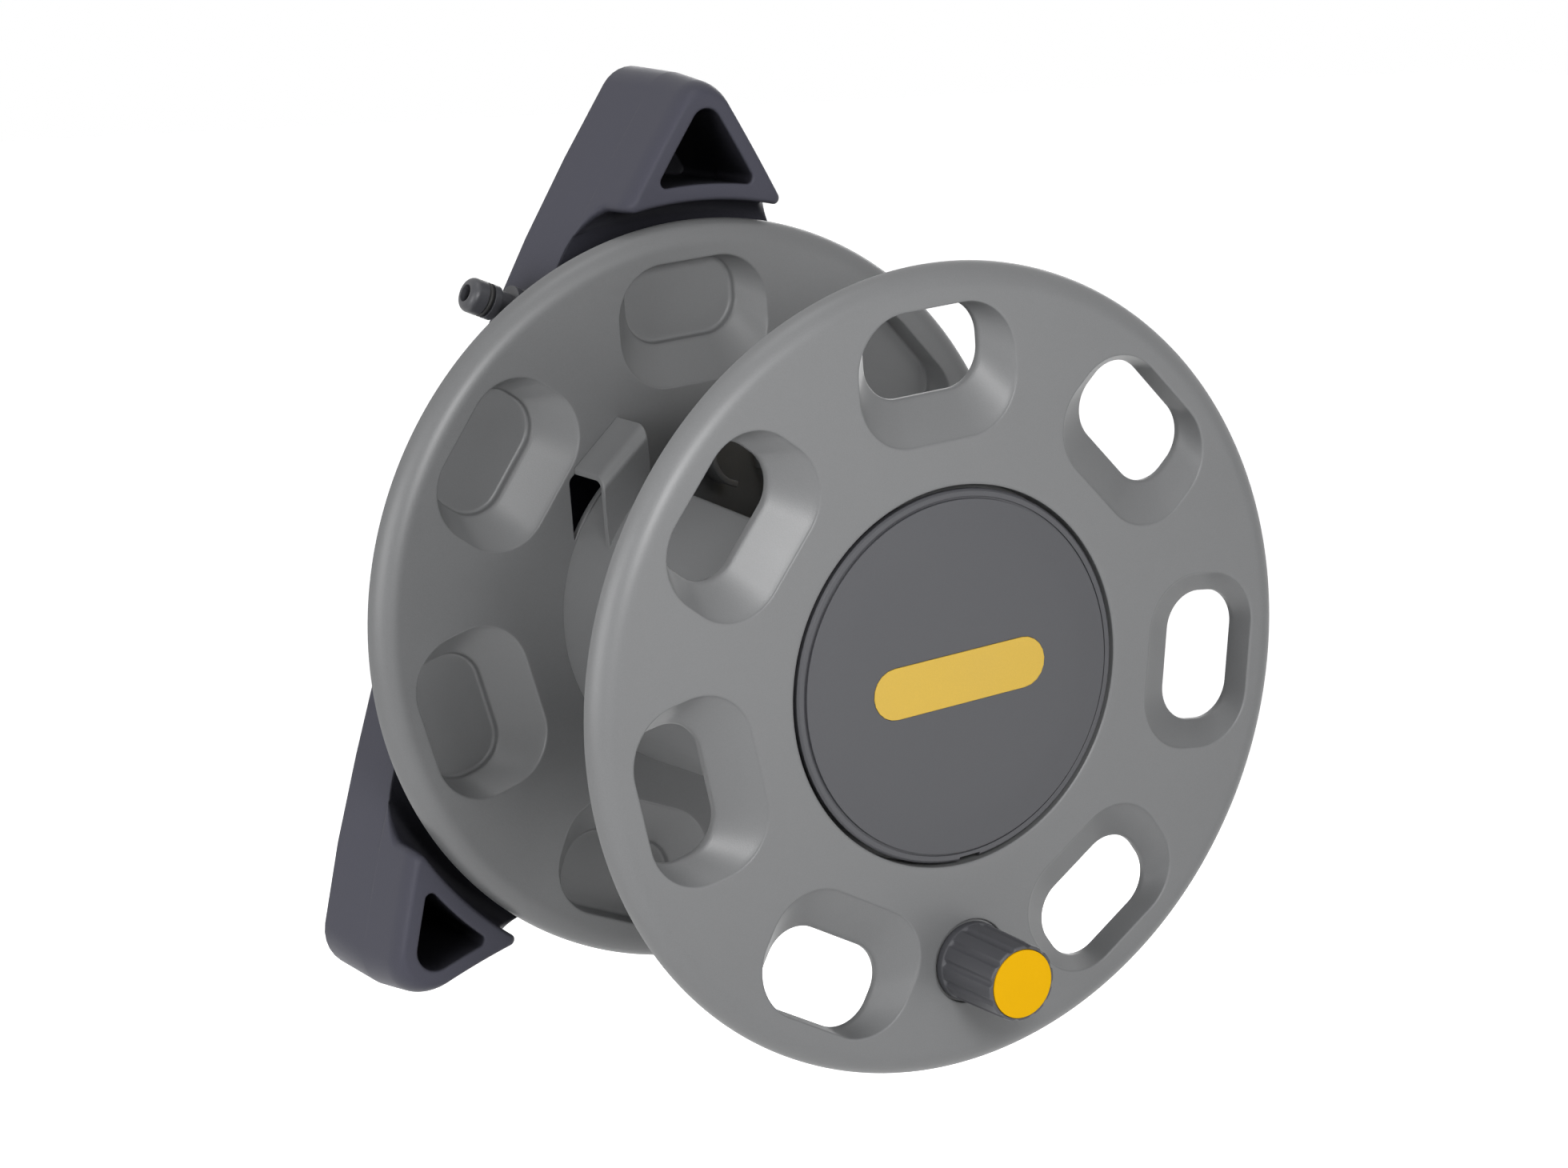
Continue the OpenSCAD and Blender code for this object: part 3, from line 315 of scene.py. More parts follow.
def moulded(name, colour, rough=0.5, mottle=0.05, grain=0.2, edge=0.0004, grain_scale=1900.0, sheen=0.5,
            shade_in=0.0):
    """Moulded plastic: fine grain, a little mottling, soft edges and, if asked, painted shade in deep corners."""
    material = bpy.data.materials.new(name)
    material.use_nodes = True
    tree = material.node_tree
    nodes, links = tree.nodes, tree.links
    bsdf = nodes["Principled BSDF"]
    place = nodes.new("ShaderNodeTexCoord")
    cloud = nodes.new("ShaderNodeTexNoise")
    cloud.inputs["Scale"].default_value = CLOUD_SCALE
    cloud.inputs["Detail"].default_value = CLOUD_DETAIL
    links.new(place.outputs["Object"], cloud.inputs["Vector"])
    speck = nodes.new("ShaderNodeTexNoise")
    speck.inputs["Scale"].default_value = grain_scale
    speck.inputs["Detail"].default_value = SPECK_DETAIL
    links.new(place.outputs["Object"], speck.inputs["Vector"])
    both = nodes.new("ShaderNodeMix")
    both.data_type = "FLOAT"
    both.inputs["Factor"].default_value = SPECK_SHARE
    links.new(cloud.outputs["Fac"], both.inputs["A"])
    links.new(speck.outputs["Fac"], both.inputs["B"])
    ramp = nodes.new("ShaderNodeValToRGB")
    ramp.color_ramp.elements[0].position = 0.3
    ramp.color_ramp.elements[1].position = 0.7
    ramp.color_ramp.elements[0].color = shade(colour, 1.0 - mottle)
    ramp.color_ramp.elements[1].color = shade(colour, 1.0 + mottle)
    links.new(both.outputs["Result"], ramp.inputs["Fac"])
    tone = ramp.outputs["Color"]
    # Painted shade: where ambient occlusion finds nearby surfaces, the base colour is mixed towards a near black
    # tone, darkening corners, recesses and gaps
    if shade_in:
        corner = nodes.new("ShaderNodeAmbientOcclusion")
        corner.samples = 6
        corner.inputs["Distance"].default_value = shade_in
        shade_falloff = nodes.new("ShaderNodeMath")
        shade_falloff.operation = "POWER"
        shade_falloff.inputs[1].default_value = PAINTED_SHADE_POWER
        links.new(corner.outputs["AO"], shade_falloff.inputs[0])
        painted_shade = nodes.new("ShaderNodeMix")
        painted_shade.data_type = "RGBA"
        painted_shade.inputs["A"].default_value = PAINTED_SHADE_TONE
        links.new(shade_falloff.outputs[0], painted_shade.inputs["Factor"])
        links.new(tone, painted_shade.inputs["B"])
        tone = painted_shade.outputs["Result"]
    links.new(tone, bsdf.inputs["Base Color"])
    gloss = nodes.new("ShaderNodeMapRange")
    gloss.inputs["To Min"].default_value = rough - ROUGH_SPREAD
    gloss.inputs["To Max"].default_value = rough + ROUGH_SPREAD
    links.new(cloud.outputs["Fac"], gloss.inputs["Value"])
    links.new(gloss.outputs["Result"], bsdf.inputs["Roughness"])
    soft = nodes.new("ShaderNodeBevel")
    soft.samples = 4
    soft.inputs["Radius"].default_value = edge
    bump = nodes.new("ShaderNodeBump")
    bump.inputs["Strength"].default_value = grain
    bump.inputs["Distance"].default_value = GRAIN_DEPTH
    links.new(speck.outputs["Fac"], bump.inputs["Height"])
    links.new(soft.outputs["Normal"], bump.inputs["Normal"])
    links.new(bump.outputs["Normal"], bsdf.inputs["Normal"])
    bsdf.inputs["Specular IOR Level"].default_value = sheen
    return material


def metal(name, colour, rough=0.3):
    """Turned or rolled metal with fine marks."""
    material = moulded(name, colour, rough, 0.08, 0.05, 0.0002, 1500.0)
    material.node_tree.nodes["Principled BSDF"].inputs["Metallic"].default_value = 1.0
    return material


# The moulded flanges


def funnel_ring(shell, sizes, a, face, part, grow, depth):
    """One ring of a funnel: part 0 is its edge at the face, part 1 the hand hole."""
    def lerp(p, q):
        return p + (q - p) * part

    outline = slot(
        lerp(sizes.funnel_w, sizes.hole_w),
        lerp(sizes.funnel_h, sizes.hole_h),
        lerp(sizes.funnel_r, sizes.hole_r),
        lerp(sizes.funnel_mid, sizes.hole_mid),
        grow,
    )
    return shell.ring([spin(p, a) for p in outline], face - depth)


# Rings of a funnel's front side: share of the way to the hole, growth and depth
FUNNEL_FRONT = (
    (0.0, 1.4, 0.0), (0.0, 0.9, 0.0), (0.0, 0.55, 0.04), (0.0, 0.25, 0.16), (0.0, 0.06, 0.38),
    (0.01, 0.0, 0.72), (0.1, 0.0, 1.6), (0.5, 0.0, 5.55), (0.9, 0.0, 9.2), (0.965, 0.0, 9.85),
    (0.992, 0.0, 10.4), (1.0, 0.0, 11.1),
)
# The open end of a front funnel and its back side
FUNNEL_OPEN = (
    (1.0, 0.0, 12.3), (1.0, 0.12, 12.7), (1.0, 0.5, 12.95), (1.0, 1.2, 13.0), (1.0, 1.9, 12.95),
    (1.0, 2.28, 12.7), (1.0, 2.4, 12.3), (1.0, 2.4, 10.8), (0.96, 2.4, 9.7), (0.26, 2.4, 3.7),
    (0.21, 2.5, 3.2), (0.18, 2.8, 3.03), (0.18, 3.1, 3.0),
)
# The closed end of a rear pocket, and its back side
POCKET_FLOOR = ((1.0, 0.0, 11.6), (1.0, -0.2, 12.3), (1.0, -0.7, 12.8), (1.0, -1.5, 13.0), (1.0, -3.0, 13.0))
POCKET_BACK = (
    (1.0, -1.0, 15.4), (1.0, 1.2, 15.4), (1.0, 2.0, 15.2), (1.0, 2.4, 14.4), (1.0, 2.4, 10.8),
    (0.96, 2.4, 9.7), (0.26, 2.4, 3.7), (0.21, 2.5, 3.2), (0.18, 2.8, 3.03), (0.18, 3.1, 3.0),
)


def rim_profile(sizes, face):
    """The rolled rim from the face round to the back, as (radius, z)."""
    roll, wall, r = sizes.rim_roll, sizes.wall, sizes.flange_r
    mid_r, mid_z = r - roll, face - roll
    outer = arc(mid_r, mid_z, roll, 90, 4, 14)
    edge = [(r, mid_z + 0.2), (r - 0.15, mid_z + 0.04), (r - 0.6, mid_z), (r - wall + 0.6, mid_z),
            (r - wall + 0.15, mid_z + 0.04), (r - wall, mid_z + 0.2)]
    inner = arc(mid_r, mid_z, roll - wall, 4, 90, 10)
    return [(mid_r - 0.6, face)] + outer + edge + inner + [(mid_r - 0.6, face - wall)]


def hole_rings(shell, sizes, a, face, table):
    """The rings of one funnel, joined."""
    rings = [funnel_ring(shell, sizes, a, face, *row) for row in table]
    shell.bands(rings)
    return rings[0], rings[-1]


# The knob's place on the front flange, and the radii of its seat, base, end and end cap
KNOB = polar(108.3, 181.3)
SEAT_R, BASE_R, END_R, END_CAP_R = 15.8, 15.0, 14.2, 12.7
FLUTES = 12


def front_flange(sizes):
    """The front flange: open funnels, the cup for the cap and the seat of the knob."""
    shell, face = Shell(), FRONT_FACE
    rim_face, rim_back = shell.turned(rim_profile(sizes, face))
    fronts, backs = [], []
    for i in range(HOLES):
        a = (i - HOLES // 2) * HOLE_PITCH
        first, last = hole_rings(shell, sizes, a, face, FUNNEL_FRONT + FUNNEL_OPEN)
        fronts.append(first)
        backs.append(last)
    cup_face, cup_back = shell.turned([
        (73.0, face), (71.6, face), (71.0, face - 0.1), (70.6, face - 0.45), (70.5, face - 1.0),
        (70.5, face - 10), (17.05, face - 10), (17.05, face - 32), (20.0, face - 32), (20.0, face - 13),
        (72.9, face - 13), (73.3, face - 12.8), (73.5, face - 12.3), (73.5, face - 4.4),
        (73.9, face - 3.4), (74.9, face - 3), (76.0, face - 3),
    ], 192)
    seat_face, seat_back = shell.turned([
        (SEAT_R + 1.3, face), (SEAT_R + 0.5, face), (SEAT_R + 0.2, face - 0.1), (SEAT_R, face - 0.4),
        (SEAT_R, face - 1.5),
        (4.1, face - 1.5), (4.1, face - 11), (11.4, face - 11), (12.0, face - 10.5), (12.0, face - 4.2),
        (12.4, face - 3.3), (13.2, face - 3), (14.0, face - 3),
    ], 96, KNOB)
    shell.fill(rim_face, fronts + [cup_face, seat_face])
    shell.fill(rim_back, backs + [cup_back, seat_back])
    return shell.build("front_flange_skin")


def hose_clip(shell, face):
    """The open hook in the barrel's recess that holds the hose's end."""
    x0, y0, r, half, length = 10.2, 59.0, 13.25, 1.25, 12.0
    path = [(x0 + x, y0 + y) for x, y in (polar(r, 196 + 254 * i / 44) for i in range(45))]
    path += [(x0 + r, y0 - 1.5 * i) for i in range(1, 8)]
    section = [(-half, -1.0), (-half, length - 0.7), (-half + 0.25, length - 0.2), (-half + 0.7, length),
               (half - 0.7, length), (half - 0.25, length - 0.2), (half, length - 0.7), (half, -1.0)]
    rows = []
    for i, (x, y) in enumerate(path):
        ahead, behind = Vector(path[min(i + 1, len(path) - 1)]), Vector(path[max(i - 1, 0)])
        side = (ahead - behind).orthogonal().normalized()
        row = []
        for out, z in section:
            row.append(len(shell.points))
            shell.points.append((x + side.x * out, y + side.y * out, face + z))
        rows.append(row)
    shell.bands(rows)
    shell.faces.append(tuple(rows[0]))
    shell.faces.append(tuple(rows[-1]))


# The hood: its left and right side, the height of its roof at the right and the roof's slope
HOOD_LEFT, HOOD_RIGHT, HOOD_HEIGHT, HOOD_SLOPE = -61.8, -38.4, 80.1, 17.1 / 21.0


def hood_top(x):
    """The height of the hood's roof above the axle."""
    return HOOD_HEIGHT + (x - HOOD_RIGHT) * HOOD_SLOPE


def fillet(points, radii, steps=6):
    """A closed outline with its corners rounded."""
    loop = []
    for i, corner in enumerate(points):
        p, a, b = Vector(corner), Vector(points[i - 1]), Vector(points[(i + 1) % len(points)])
        if not radii[i]:
            loop.append((p.x, p.y))
            continue
        u, v = (a - p).normalized(), (b - p).normalized()
        half = u.angle(v) / 2
        reach = radii[i] / math.tan(half)
        centre = p + (u + v).normalized() * radii[i] / math.sin(half)
        first, last = p + u * reach - centre, p + v * reach - centre
        sweep = last.angle_signed(first)
        for k in range(steps + 1):
            a = sweep * k / steps
            c, s = math.cos(a), math.sin(a)
            loop.append((centre.x + first.x * c - first.y * s, centre.y + first.x * s + first.y * c))
    return loop


def grown(loop, d):
    """A closed outline drawn outwards by d; the outline runs clockwise."""
    out = []
    for i, p in enumerate(loop):
        a, b = Vector(loop[i - 1]), Vector(loop[(i + 1) % len(loop)])
        t = (b - a).normalized()
        out.append((p[0] - t.y * d, p[1] + t.x * d))
    return out


def window(shell, face, wall):
    """The window in the rear flange under the hood; returns its rings in front and behind."""
    left, far, r = HOOD_LEFT, HOOD_RIGHT, 70.8
    a0, a1 = math.degrees(math.asin(left / r)), math.degrees(math.asin(far / r))
    low = [polar(r, a1 + (a0 - a1) * i / 14) for i in range(15)]
    outline = [(left, hood_top(left) - 2.5), (far, hood_top(far) - 2.5)] + low
    loop = fillet(outline, [3.0, 3.0] + [0.0] * len(low))
    rows = ((0.35, 0.0), (0.2, 0.03), (0.06, 0.12), (0.0, 0.35), (0.0, wall - 0.35), (0.06, wall - 0.12),
            (0.2, wall - 0.03), (0.35, wall))
    rings = [shell.ring(grown(loop, d), face - depth) for d, depth in rows]
    shell.bands(rings)
    return rings[0], rings[-1]


def rear_flange(sizes):
    """The rear flange: closed pockets, the bearing tube behind and the hose clip in front."""
    shell, face = Shell(), BARREL_BACK
    rim_face, rim_back = shell.turned(rim_profile(sizes, face))
    fronts, backs = [], []
    for i in range(HOLES):
        a = 360 * i / HOLES
        first, last = hole_rings(shell, sizes, a, face, FUNNEL_FRONT + POCKET_FLOOR)
        fronts.append(first)
        shell.faces.append(tuple(last))
        first, last = hole_rings(shell, sizes, a, face, POCKET_BACK)
        shell.faces.append(tuple(first))
        backs.append(last)
    tube_end = -mm(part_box("rear_bush")[1].y) + 2.5
    hub_face, hub_back = shell.turned([
        (19.6, face), (19.05, face - 0.5), (19.05, tube_end + 0.4), (19.4, tube_end), (23.1, tube_end),
        (23.5, tube_end + 0.4), (23.5, face - 8.8), (24.2, face - 8), (33.4, face - 8), (34.0, face - 7.4),
        (34.0, face - 4), (34.6, face - 3), (36.0, face - 3),
    ], 128)
    open_face, open_back = window(shell, face, sizes.wall)
    shell.fill(rim_face, fronts + [hub_face, open_face])
    shell.fill(rim_back, backs + [hub_back, open_back])
    hose_clip(shell, face)
    return shell.build("rear_flange_skin")


class HOSEREEL_OT_flanges(bpy.types.Operator):
    """Build both moulded flanges with their funnels and rolled rims"""

    bl_idname = "hosereel.flanges"
    bl_label = "Flanges"

    def execute(self, context):
        sizes, colours = context.scene.reel_sizes, context.scene.reel_colours
        grey = moulded("drum_plastic", colours.flange, 0.4)
        settle(front_flange(sizes), "drum", "front_flange", grey)
        settle(rear_flange(sizes), "drum", "rear_flange", grey)
        return {"FINISHED"}


# The barrel's radius at the rear flange, how much it loses up to the front one, half the recess's
# width, and the least length of the recess's edges
BARREL_R, BARREL_TAPER, RECESS_HALF, LONG_EDGE = 70.0, 7.0, 35.9, 20.0


def recess_rim(edge):
    """True for the long edges where the recess cuts the barrel's cone."""
    ends = [in_drum(v.co) for v in edge.verts]
    if abs(ends[0][2] - ends[1][2]) < LONG_EDGE:
        return False
    cone = [BARREL_R - BARREL_TAPER * (z - BARREL_BACK) / (BARREL_FRONT - BARREL_BACK) for _, _, z in ends]
    return all(
        abs(abs(x) - RECESS_HALF) < 0.4 and abs(math.hypot(x, y) - r) < 0.8
        for (x, y, _), r in zip(ends, cone))


def hood_edge(edge):
    """True for the free edges of the hood."""
    ends = [in_drum(v.co) for v in edge.verts]
    return all(x < -37.6 and z < BARREL_BACK + 24 and math.hypot(x, y) > 70.2 for x, y, z in ends)


class HOSEREEL_OT_barrel(bpy.types.Operator):
    """Build the barrel with its recess and its hose hood"""

    bl_idname = "hosereel.barrel"
    bl_label = "Barrel"

    def execute(self, context):
        grey = bpy.data.materials["drum_plastic"]
        skin = dressed("hub_barrel", "hub_barrel_skin", ((recess_rim, 4.0, 6), (hood_edge, 0.7, 3)))
        settle(skin, "drum", "hub_barrel", grey)
        return {"FINISHED"}


def meet(p, r0, q, r1):
    """The meeting point of two circles, to the left of the line between their centres."""
    p, q = Vector(p), Vector(q)
    d = (q - p).length
    u = (q - p) / d
    a = (d * d + r0 * r0 - r1 * r1) / (2 * d)
    return p + a * u + math.sqrt(r0 * r0 - a * a) * Vector((-u.y, u.x))


def heading(p, q):
    """The angle of one point seen from another, in degrees from 0 to 360."""
    return math.degrees(math.atan2(q[1] - p[1], q[0] - p[0])) % 360


# The bracket's outline in the wall's plane: corners, long sides and the arch below
CLEAR_R, SIDE_R, APEX_R, FOOT_R, ARCH_RISE = 157.0, 860.0, 12.0, 14.0, 14.0
FOOT_ANGLE = 223.9
APEX = (0.0, CLEAR_R + 36.8)
FOOT = polar(CLEAR_R + 30.4, FOOT_ANGLE)
SIDE = meet(APEX, SIDE_R - APEX_R, FOOT, SIDE_R - FOOT_R)
ARCH_R = (FOOT[0] ** 2 + ARCH_RISE ** 2 - FOOT_R ** 2) / (2 * (FOOT_R + ARCH_RISE))
ARCH = (0.0, FOOT[1] + ARCH_RISE - ARCH_R)
# The body's cut, the lowest ring of the blocks above it, and their front, as heights over the wall
BLOCK_CUT, BLOCK_LOW, BLOCK_TOP = 31.5, 31.9, -mm(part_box("wall_bracket")[0].y)
# The hollow that leaves room for the drum: its radius, its height and the round edge in front
NOTCH_R, NOTCH_TOP, NOTCH_EDGE = 14.0, 44.0, 1.8
# The draft of the walls over the full height, how much of it the corners' radii follow, and how much
# wider the bracket is drawn
DRAFT, CORNER_SHARE, WIDER = 3.5, 0.55, 1.7
# The round front edge of the blocks: how far it falls in, and over which height
CROWN_DROP, CROWN_HEIGHT = 2.6, 9.0
# Heights of the blocks' rings
BLOCK_ROWS = (
    BLOCK_LOW, 32.2, 33.0, 34.0, 35.5, 37.0, 39.0, 41.0, 43.0, 44.5, 47.0, 50.0, 51.0, 52.5, 54.0, 55.4,
    56.5, 57.2, 57.8, 58.3, 58.65, 58.88, BLOCK_TOP,
)
# The hollow in a block: growth and depth of its rings, and how far it keeps from the outer wall and
# the middle of the drum
HOLLOW_ROWS = (
    (0.9, 0.0), (0.55, 0.07), (0.27, 0.26), (0.07, 0.55), (0.0, 0.9), (0.0, BLOCK_TOP - BLOCK_LOW),
)
HOLLOW_WALL, HOLLOW_R, HOLLOW_TIP = 9.5, 163.7, 2.5
# Faces that reach further than this from the axle, in metres, belong to a block
BLOCK_REACH = 0.12
# A point nearer than this to a wall's line belongs to that wall
ON_WALL = 0.3


def corner_r(z):
    """The radius of the top corner at a height: broad at the wall, then nearly even."""
    return 11.9 + 3.4 * max(0.0, 1 - z / 30) ** 2 + 0.5 * max(0.0, (z - 30) / 29) ** 2


def apex_mid(k, r):
    """The middle of a top corner of the radius r."""
    return Vector((0.0, SIDE[1] + math.sqrt((SIDE_R - k - r) ** 2 - SIDE[0] ** 2)))


def foot_mid(k, r):
    """The middle of a left foot of the radius r."""
    return meet(ARCH, ARCH_R + k + r, SIDE, SIDE_R - k - r)


def bracket_outline(k, ra=None, n=40):
    """The bracket's outline drawn in by k, anticlockwise from the top; feet are rounder than the top."""
    ra, rf = (ra, ra + FOOT_R - APEX_R) if ra else (APEX_R - CORNER_SHARE * k, FOOT_R - CORNER_SHARE * k)
    top, foot = apex_mid(k, ra), foot_mid(k, rf)
    a0, a1, a2 = heading(SIDE, top), heading(SIDE, foot), heading(foot, ARCH)
    runs = (
        arc(*top, ra, 180 - a0, a0, n), arc(*SIDE, SIDE_R - k, a0, a1, 3 * n), arc(*foot, rf, a1, a2, n),
        arc(*ARCH, ARCH_R + k, a2 - 180, 360 - a2, 2 * n), arc(-foot[0], foot[1], rf, 540 - a2, 540 - a1, n),
        arc(-SIDE[0], SIDE[1], SIDE_R - k, 180 - a1, 180 - a0, 3 * n),
    )
    return [Vector(p) for run in runs for p in run[:-1]]


def outside(loop, r, way):
    """The run of a closed outline that lies beyond the radius r in one direction."""
    start = min(range(len(loop)), key=lambda i: loop[i].dot(way))
    loop = loop[start:] + loop[:start]
    keep = [i for i, p in enumerate(loop) if p.length > r and p.dot(way) > 0.6 * p.length]

    def cross(a, b):
        return a.lerp(b, (r - a.length) / (b.length - a.length))

    first, last = keep[0], keep[-1]
    return [cross(loop[first - 1], loop[first])] + loop[first:last + 1] + [cross(loop[last + 1], loop[last])]


def spread(points, n):
    """The same line with n points at even steps."""
    at = [0.0]
    for a, b in zip(points, points[1:]):
        at.append(at[-1] + (b - a).length)
    out, i = [], 0
    for k in range(n):
        want = at[-1] * k / (n - 1)
        while i < len(at) - 2 and at[i + 1] < want:
            i += 1
        step = at[i + 1] - at[i]
        out.append(points[i].lerp(points[i + 1], (want - at[i]) / step if step else 0.0))
    return out


def block_ring(k, r, tip, way, ra=None):
    """A section of a corner block: the outline drawn in by k, beyond the radius r, with round tips."""
    middles = outside(bracket_outline(k + tip), r + tip, way)
    a, b = middles[0], middles[-1]
    ta, tb = (middles[1] - a).normalized(), (b - middles[-2]).normalized()
    na, nb = Vector((ta.y, -ta.x)), Vector((tb.y, -tb.x))
    ends = a + tip * na, b + tip * nb
    between = [p for p in outside(bracket_outline(k, ra), r - 1.0, way)
               if (p - ends[0]).dot(ta) > 0.01 and (p - ends[1]).dot(tb) < -0.01]
    loop = spread([ends[0]] + between + [ends[1]], 130)
    for middle, first, last in ((b, nb, -b.normalized()), (a, -a.normalized(), na)):
        turn = math.degrees(math.atan2(first.x * last.y - first.y * last.x, first.dot(last)))
        base = math.degrees(math.atan2(first.y, first.x))
        loop += [Vector(p) for p in arc(*middle, tip, base, base + turn, 10)[1:]]
        if middle is b:
            ab, aa = heading((0, 0), b), heading((0, 0), a)
            sweep = (ab - aa) % 360
            loop += [Vector(p) for p in arc(0.0, 0.0, r, ab, ab - sweep, 40)[1:]]
    return [(p.x, p.y) for p in loop[:-1]]


def crown(z):
    """How far the outline is drawn in at a height: the draft and the round front edge."""
    share = max(0.0, 1 - (BLOCK_TOP - z) / CROWN_HEIGHT)
    return DRAFT * z / BLOCK_TOP + CROWN_DROP * (1 - math.sqrt(max(0.0, 1 - share * share)))


def wider(p):
    """A point of the bracket's body, with its outer walls drawn out."""
    x, y, z = p
    k, round_r = DRAFT * z / BLOCK_TOP, corner_r(z)
    flip = 1 if x < 0 else -1
    flat = Vector((x * flip, y))
    ra, rf = APEX_R - CORNER_SHARE * k, FOOT_R - CORNER_SHARE * k
    top, foot = apex_mid(k, ra), foot_mid(k, rf)
    near_side = abs((flat - Vector(SIDE)).length - SIDE_R + k) < ON_WALL
    if y > top.y and abs((flat - top).length - ra) < ON_WALL:
        flat = apex_mid(k - WIDER, round_r) + (flat - top).normalized() * round_r
    elif flat.length > CLEAR_R and abs((flat - foot).length - rf) < ON_WALL:
        round_r += FOOT_R - APEX_R
        flat = foot_mid(k - WIDER, round_r) + (flat - foot).normalized() * round_r
    elif near_side:
        # The long sides are drawn out less in their middle
        share = min(1.0, max(0.0, abs(y - 10) - 60) / 60)
        flat += (flat - Vector(SIDE)).normalized() * WIDER * (0.5 + 0.5 * share * share * (3 - 2 * share))
    elif y < 0 and abs((flat - Vector(ARCH)).length - ARCH_R - k) < ON_WALL:
        flat -= (flat - Vector(ARCH)).normalized() * WIDER
    return flat.x * flip, flat.y, z


def notch(z):
    """The radius of the drum's space at a height."""
    if z < NOTCH_TOP:
        return CLEAR_R - NOTCH_R + math.sqrt(NOTCH_R ** 2 - (NOTCH_TOP - z) ** 2)
    share = max(0.0, 1 - (BLOCK_TOP - z) / NOTCH_EDGE)
    return CLEAR_R + NOTCH_EDGE * (1 - math.sqrt(1 - share * share))


def corner_block(shell, angle):
    """The upper part of a corner block, with its hollow."""
    way = Vector(polar(1.0, angle))
    rings = []
    for z in BLOCK_ROWS:
        tip = 0.05 + 2.35 * min(1.0, (z - BLOCK_LOW) / 9.0) ** 0.7
        ring = block_ring(crown(z) - WIDER, notch(z), tip, way, corner_r(z))
        rings.append(shell.ring(ring, z))
    shell.bands(rings)
    hollow = []
    for grow, depth in HOLLOW_ROWS:
        ring = block_ring(HOLLOW_WALL - grow, HOLLOW_R - grow, HOLLOW_TIP + grow, way)
        hollow.append(shell.ring(ring, BLOCK_TOP - depth))
    shell.bands(hollow)
    shell.fill(rings[-1], [hollow[0]])


def close_gaps(bm):
    """Joins the open loops of the body to those of the blocks above them."""
    bmesh.ops.remove_doubles(bm, verts=bm.verts, dist=1e-6)
    rest = dict.fromkeys(e for e in bm.edges if e.is_boundary)
    loops = []
    while rest:
        loop, grow = [], [rest.popitem()[0]]
        while grow:
            edge = grow.pop()
            loop.append(edge)
            for e in dict.fromkeys(e for v in edge.verts for e in v.link_edges if e in rest):
                rest.pop(e)
                grow.append(e)
        loops.append(loop)

    def key(loop):
        spots = [v.co for e in loop for v in e.verts]
        middle = sum(spots, Vector()) / len(spots)
        return round(math.atan2(middle.x, middle.z), 0), sum(e.calc_length() for e in loop)

    loops.sort(key=key)
    for a, b in zip(loops[::2], loops[1::2]):
        bmesh.ops.bridge_loops(bm, edges=a + b)


def bracket():
    """The wall bracket: its body, and the upper parts of its corner blocks with soft edges."""
    shell = Shell()
    for angle in (0.0, 360 - FOOT_ANGLE, FOOT_ANGLE):
        corner_block(shell, angle)
    skin = shell.build("corner_blocks", 0.0)
    bm = bmesh.new()
    bm.from_mesh(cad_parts["wall_bracket"].data)
    far = [f for f in bm.faces if max(math.hypot(v.co.x, v.co.z) for v in f.verts) > BLOCK_REACH]
    geom = list(dict.fromkeys(x for f in far for x in (*f.verts, *f.edges))) + far
    bmesh.ops.bisect_plane(
        bm, geom=geom, dist=1e-7, plane_co=(0.0, -BLOCK_CUT * MM, 0.0), plane_no=(0.0, -1.0, 0.0), clear_outer=True)
    for v in bm.verts:
        v.co = to_row(*wider((mm(v.co.x), mm(v.co.z), -mm(v.co.y))), 0.0)
    bm.from_mesh(skin.data)
    close_gaps(bm)
    mesh = bpy.data.meshes.new("wall_bracket_skin")
    bm.to_mesh(mesh)
    bm.free()
    bpy.data.objects.remove(skin)
    return finished("wall_bracket_skin", mesh, COPY_SHARP)


class HOSEREEL_OT_bracket(bpy.types.Operator):
    """Build the wall bracket"""

    bl_idname = "hosereel.bracket"
    bl_label = "Bracket"

    def execute(self, context):
        # The bracket's colour gets painted shade, darkening its hollows, pockets and the gap around the drum
        slate = moulded("bracket_plastic", context.scene.reel_colours.bracket, 0.42, edge=0.0016, sheen=0.15,
                        shade_in=0.042)
        settle(bracket(), "bracket", "wall_bracket", slate)
        return {"FINISHED"}


class HOSEREEL_OT_cap(bpy.types.Operator):
    """Finish the hub cap and its plain plate"""

    bl_idname = "hosereel.cap"
    bl_label = "Hub cap"

    def execute(self, context):
        colours = context.scene.reel_colours
        dark = moulded("cap_plastic", colours.cap, 0.42)
        yellow = moulded("plate_plastic", colours.plate, 0.38, 0.03)
        settle(dressed("hub_cap", "hub_cap_skin"), "drum", "hub_cap", dark)
        settle(dressed("badge_plate", "badge_plate_skin"), "drum", "badge_plate", yellow)
        return {"FINISHED"}


def flute(share):
    """Depth of the flutes at a share of one pitch, from 0 to 1."""
    off = abs(share % 1.0 - 0.5) / 0.19
    return 0.8 * (1 - off * off) ** 0.8 if off < 1 else 0.0


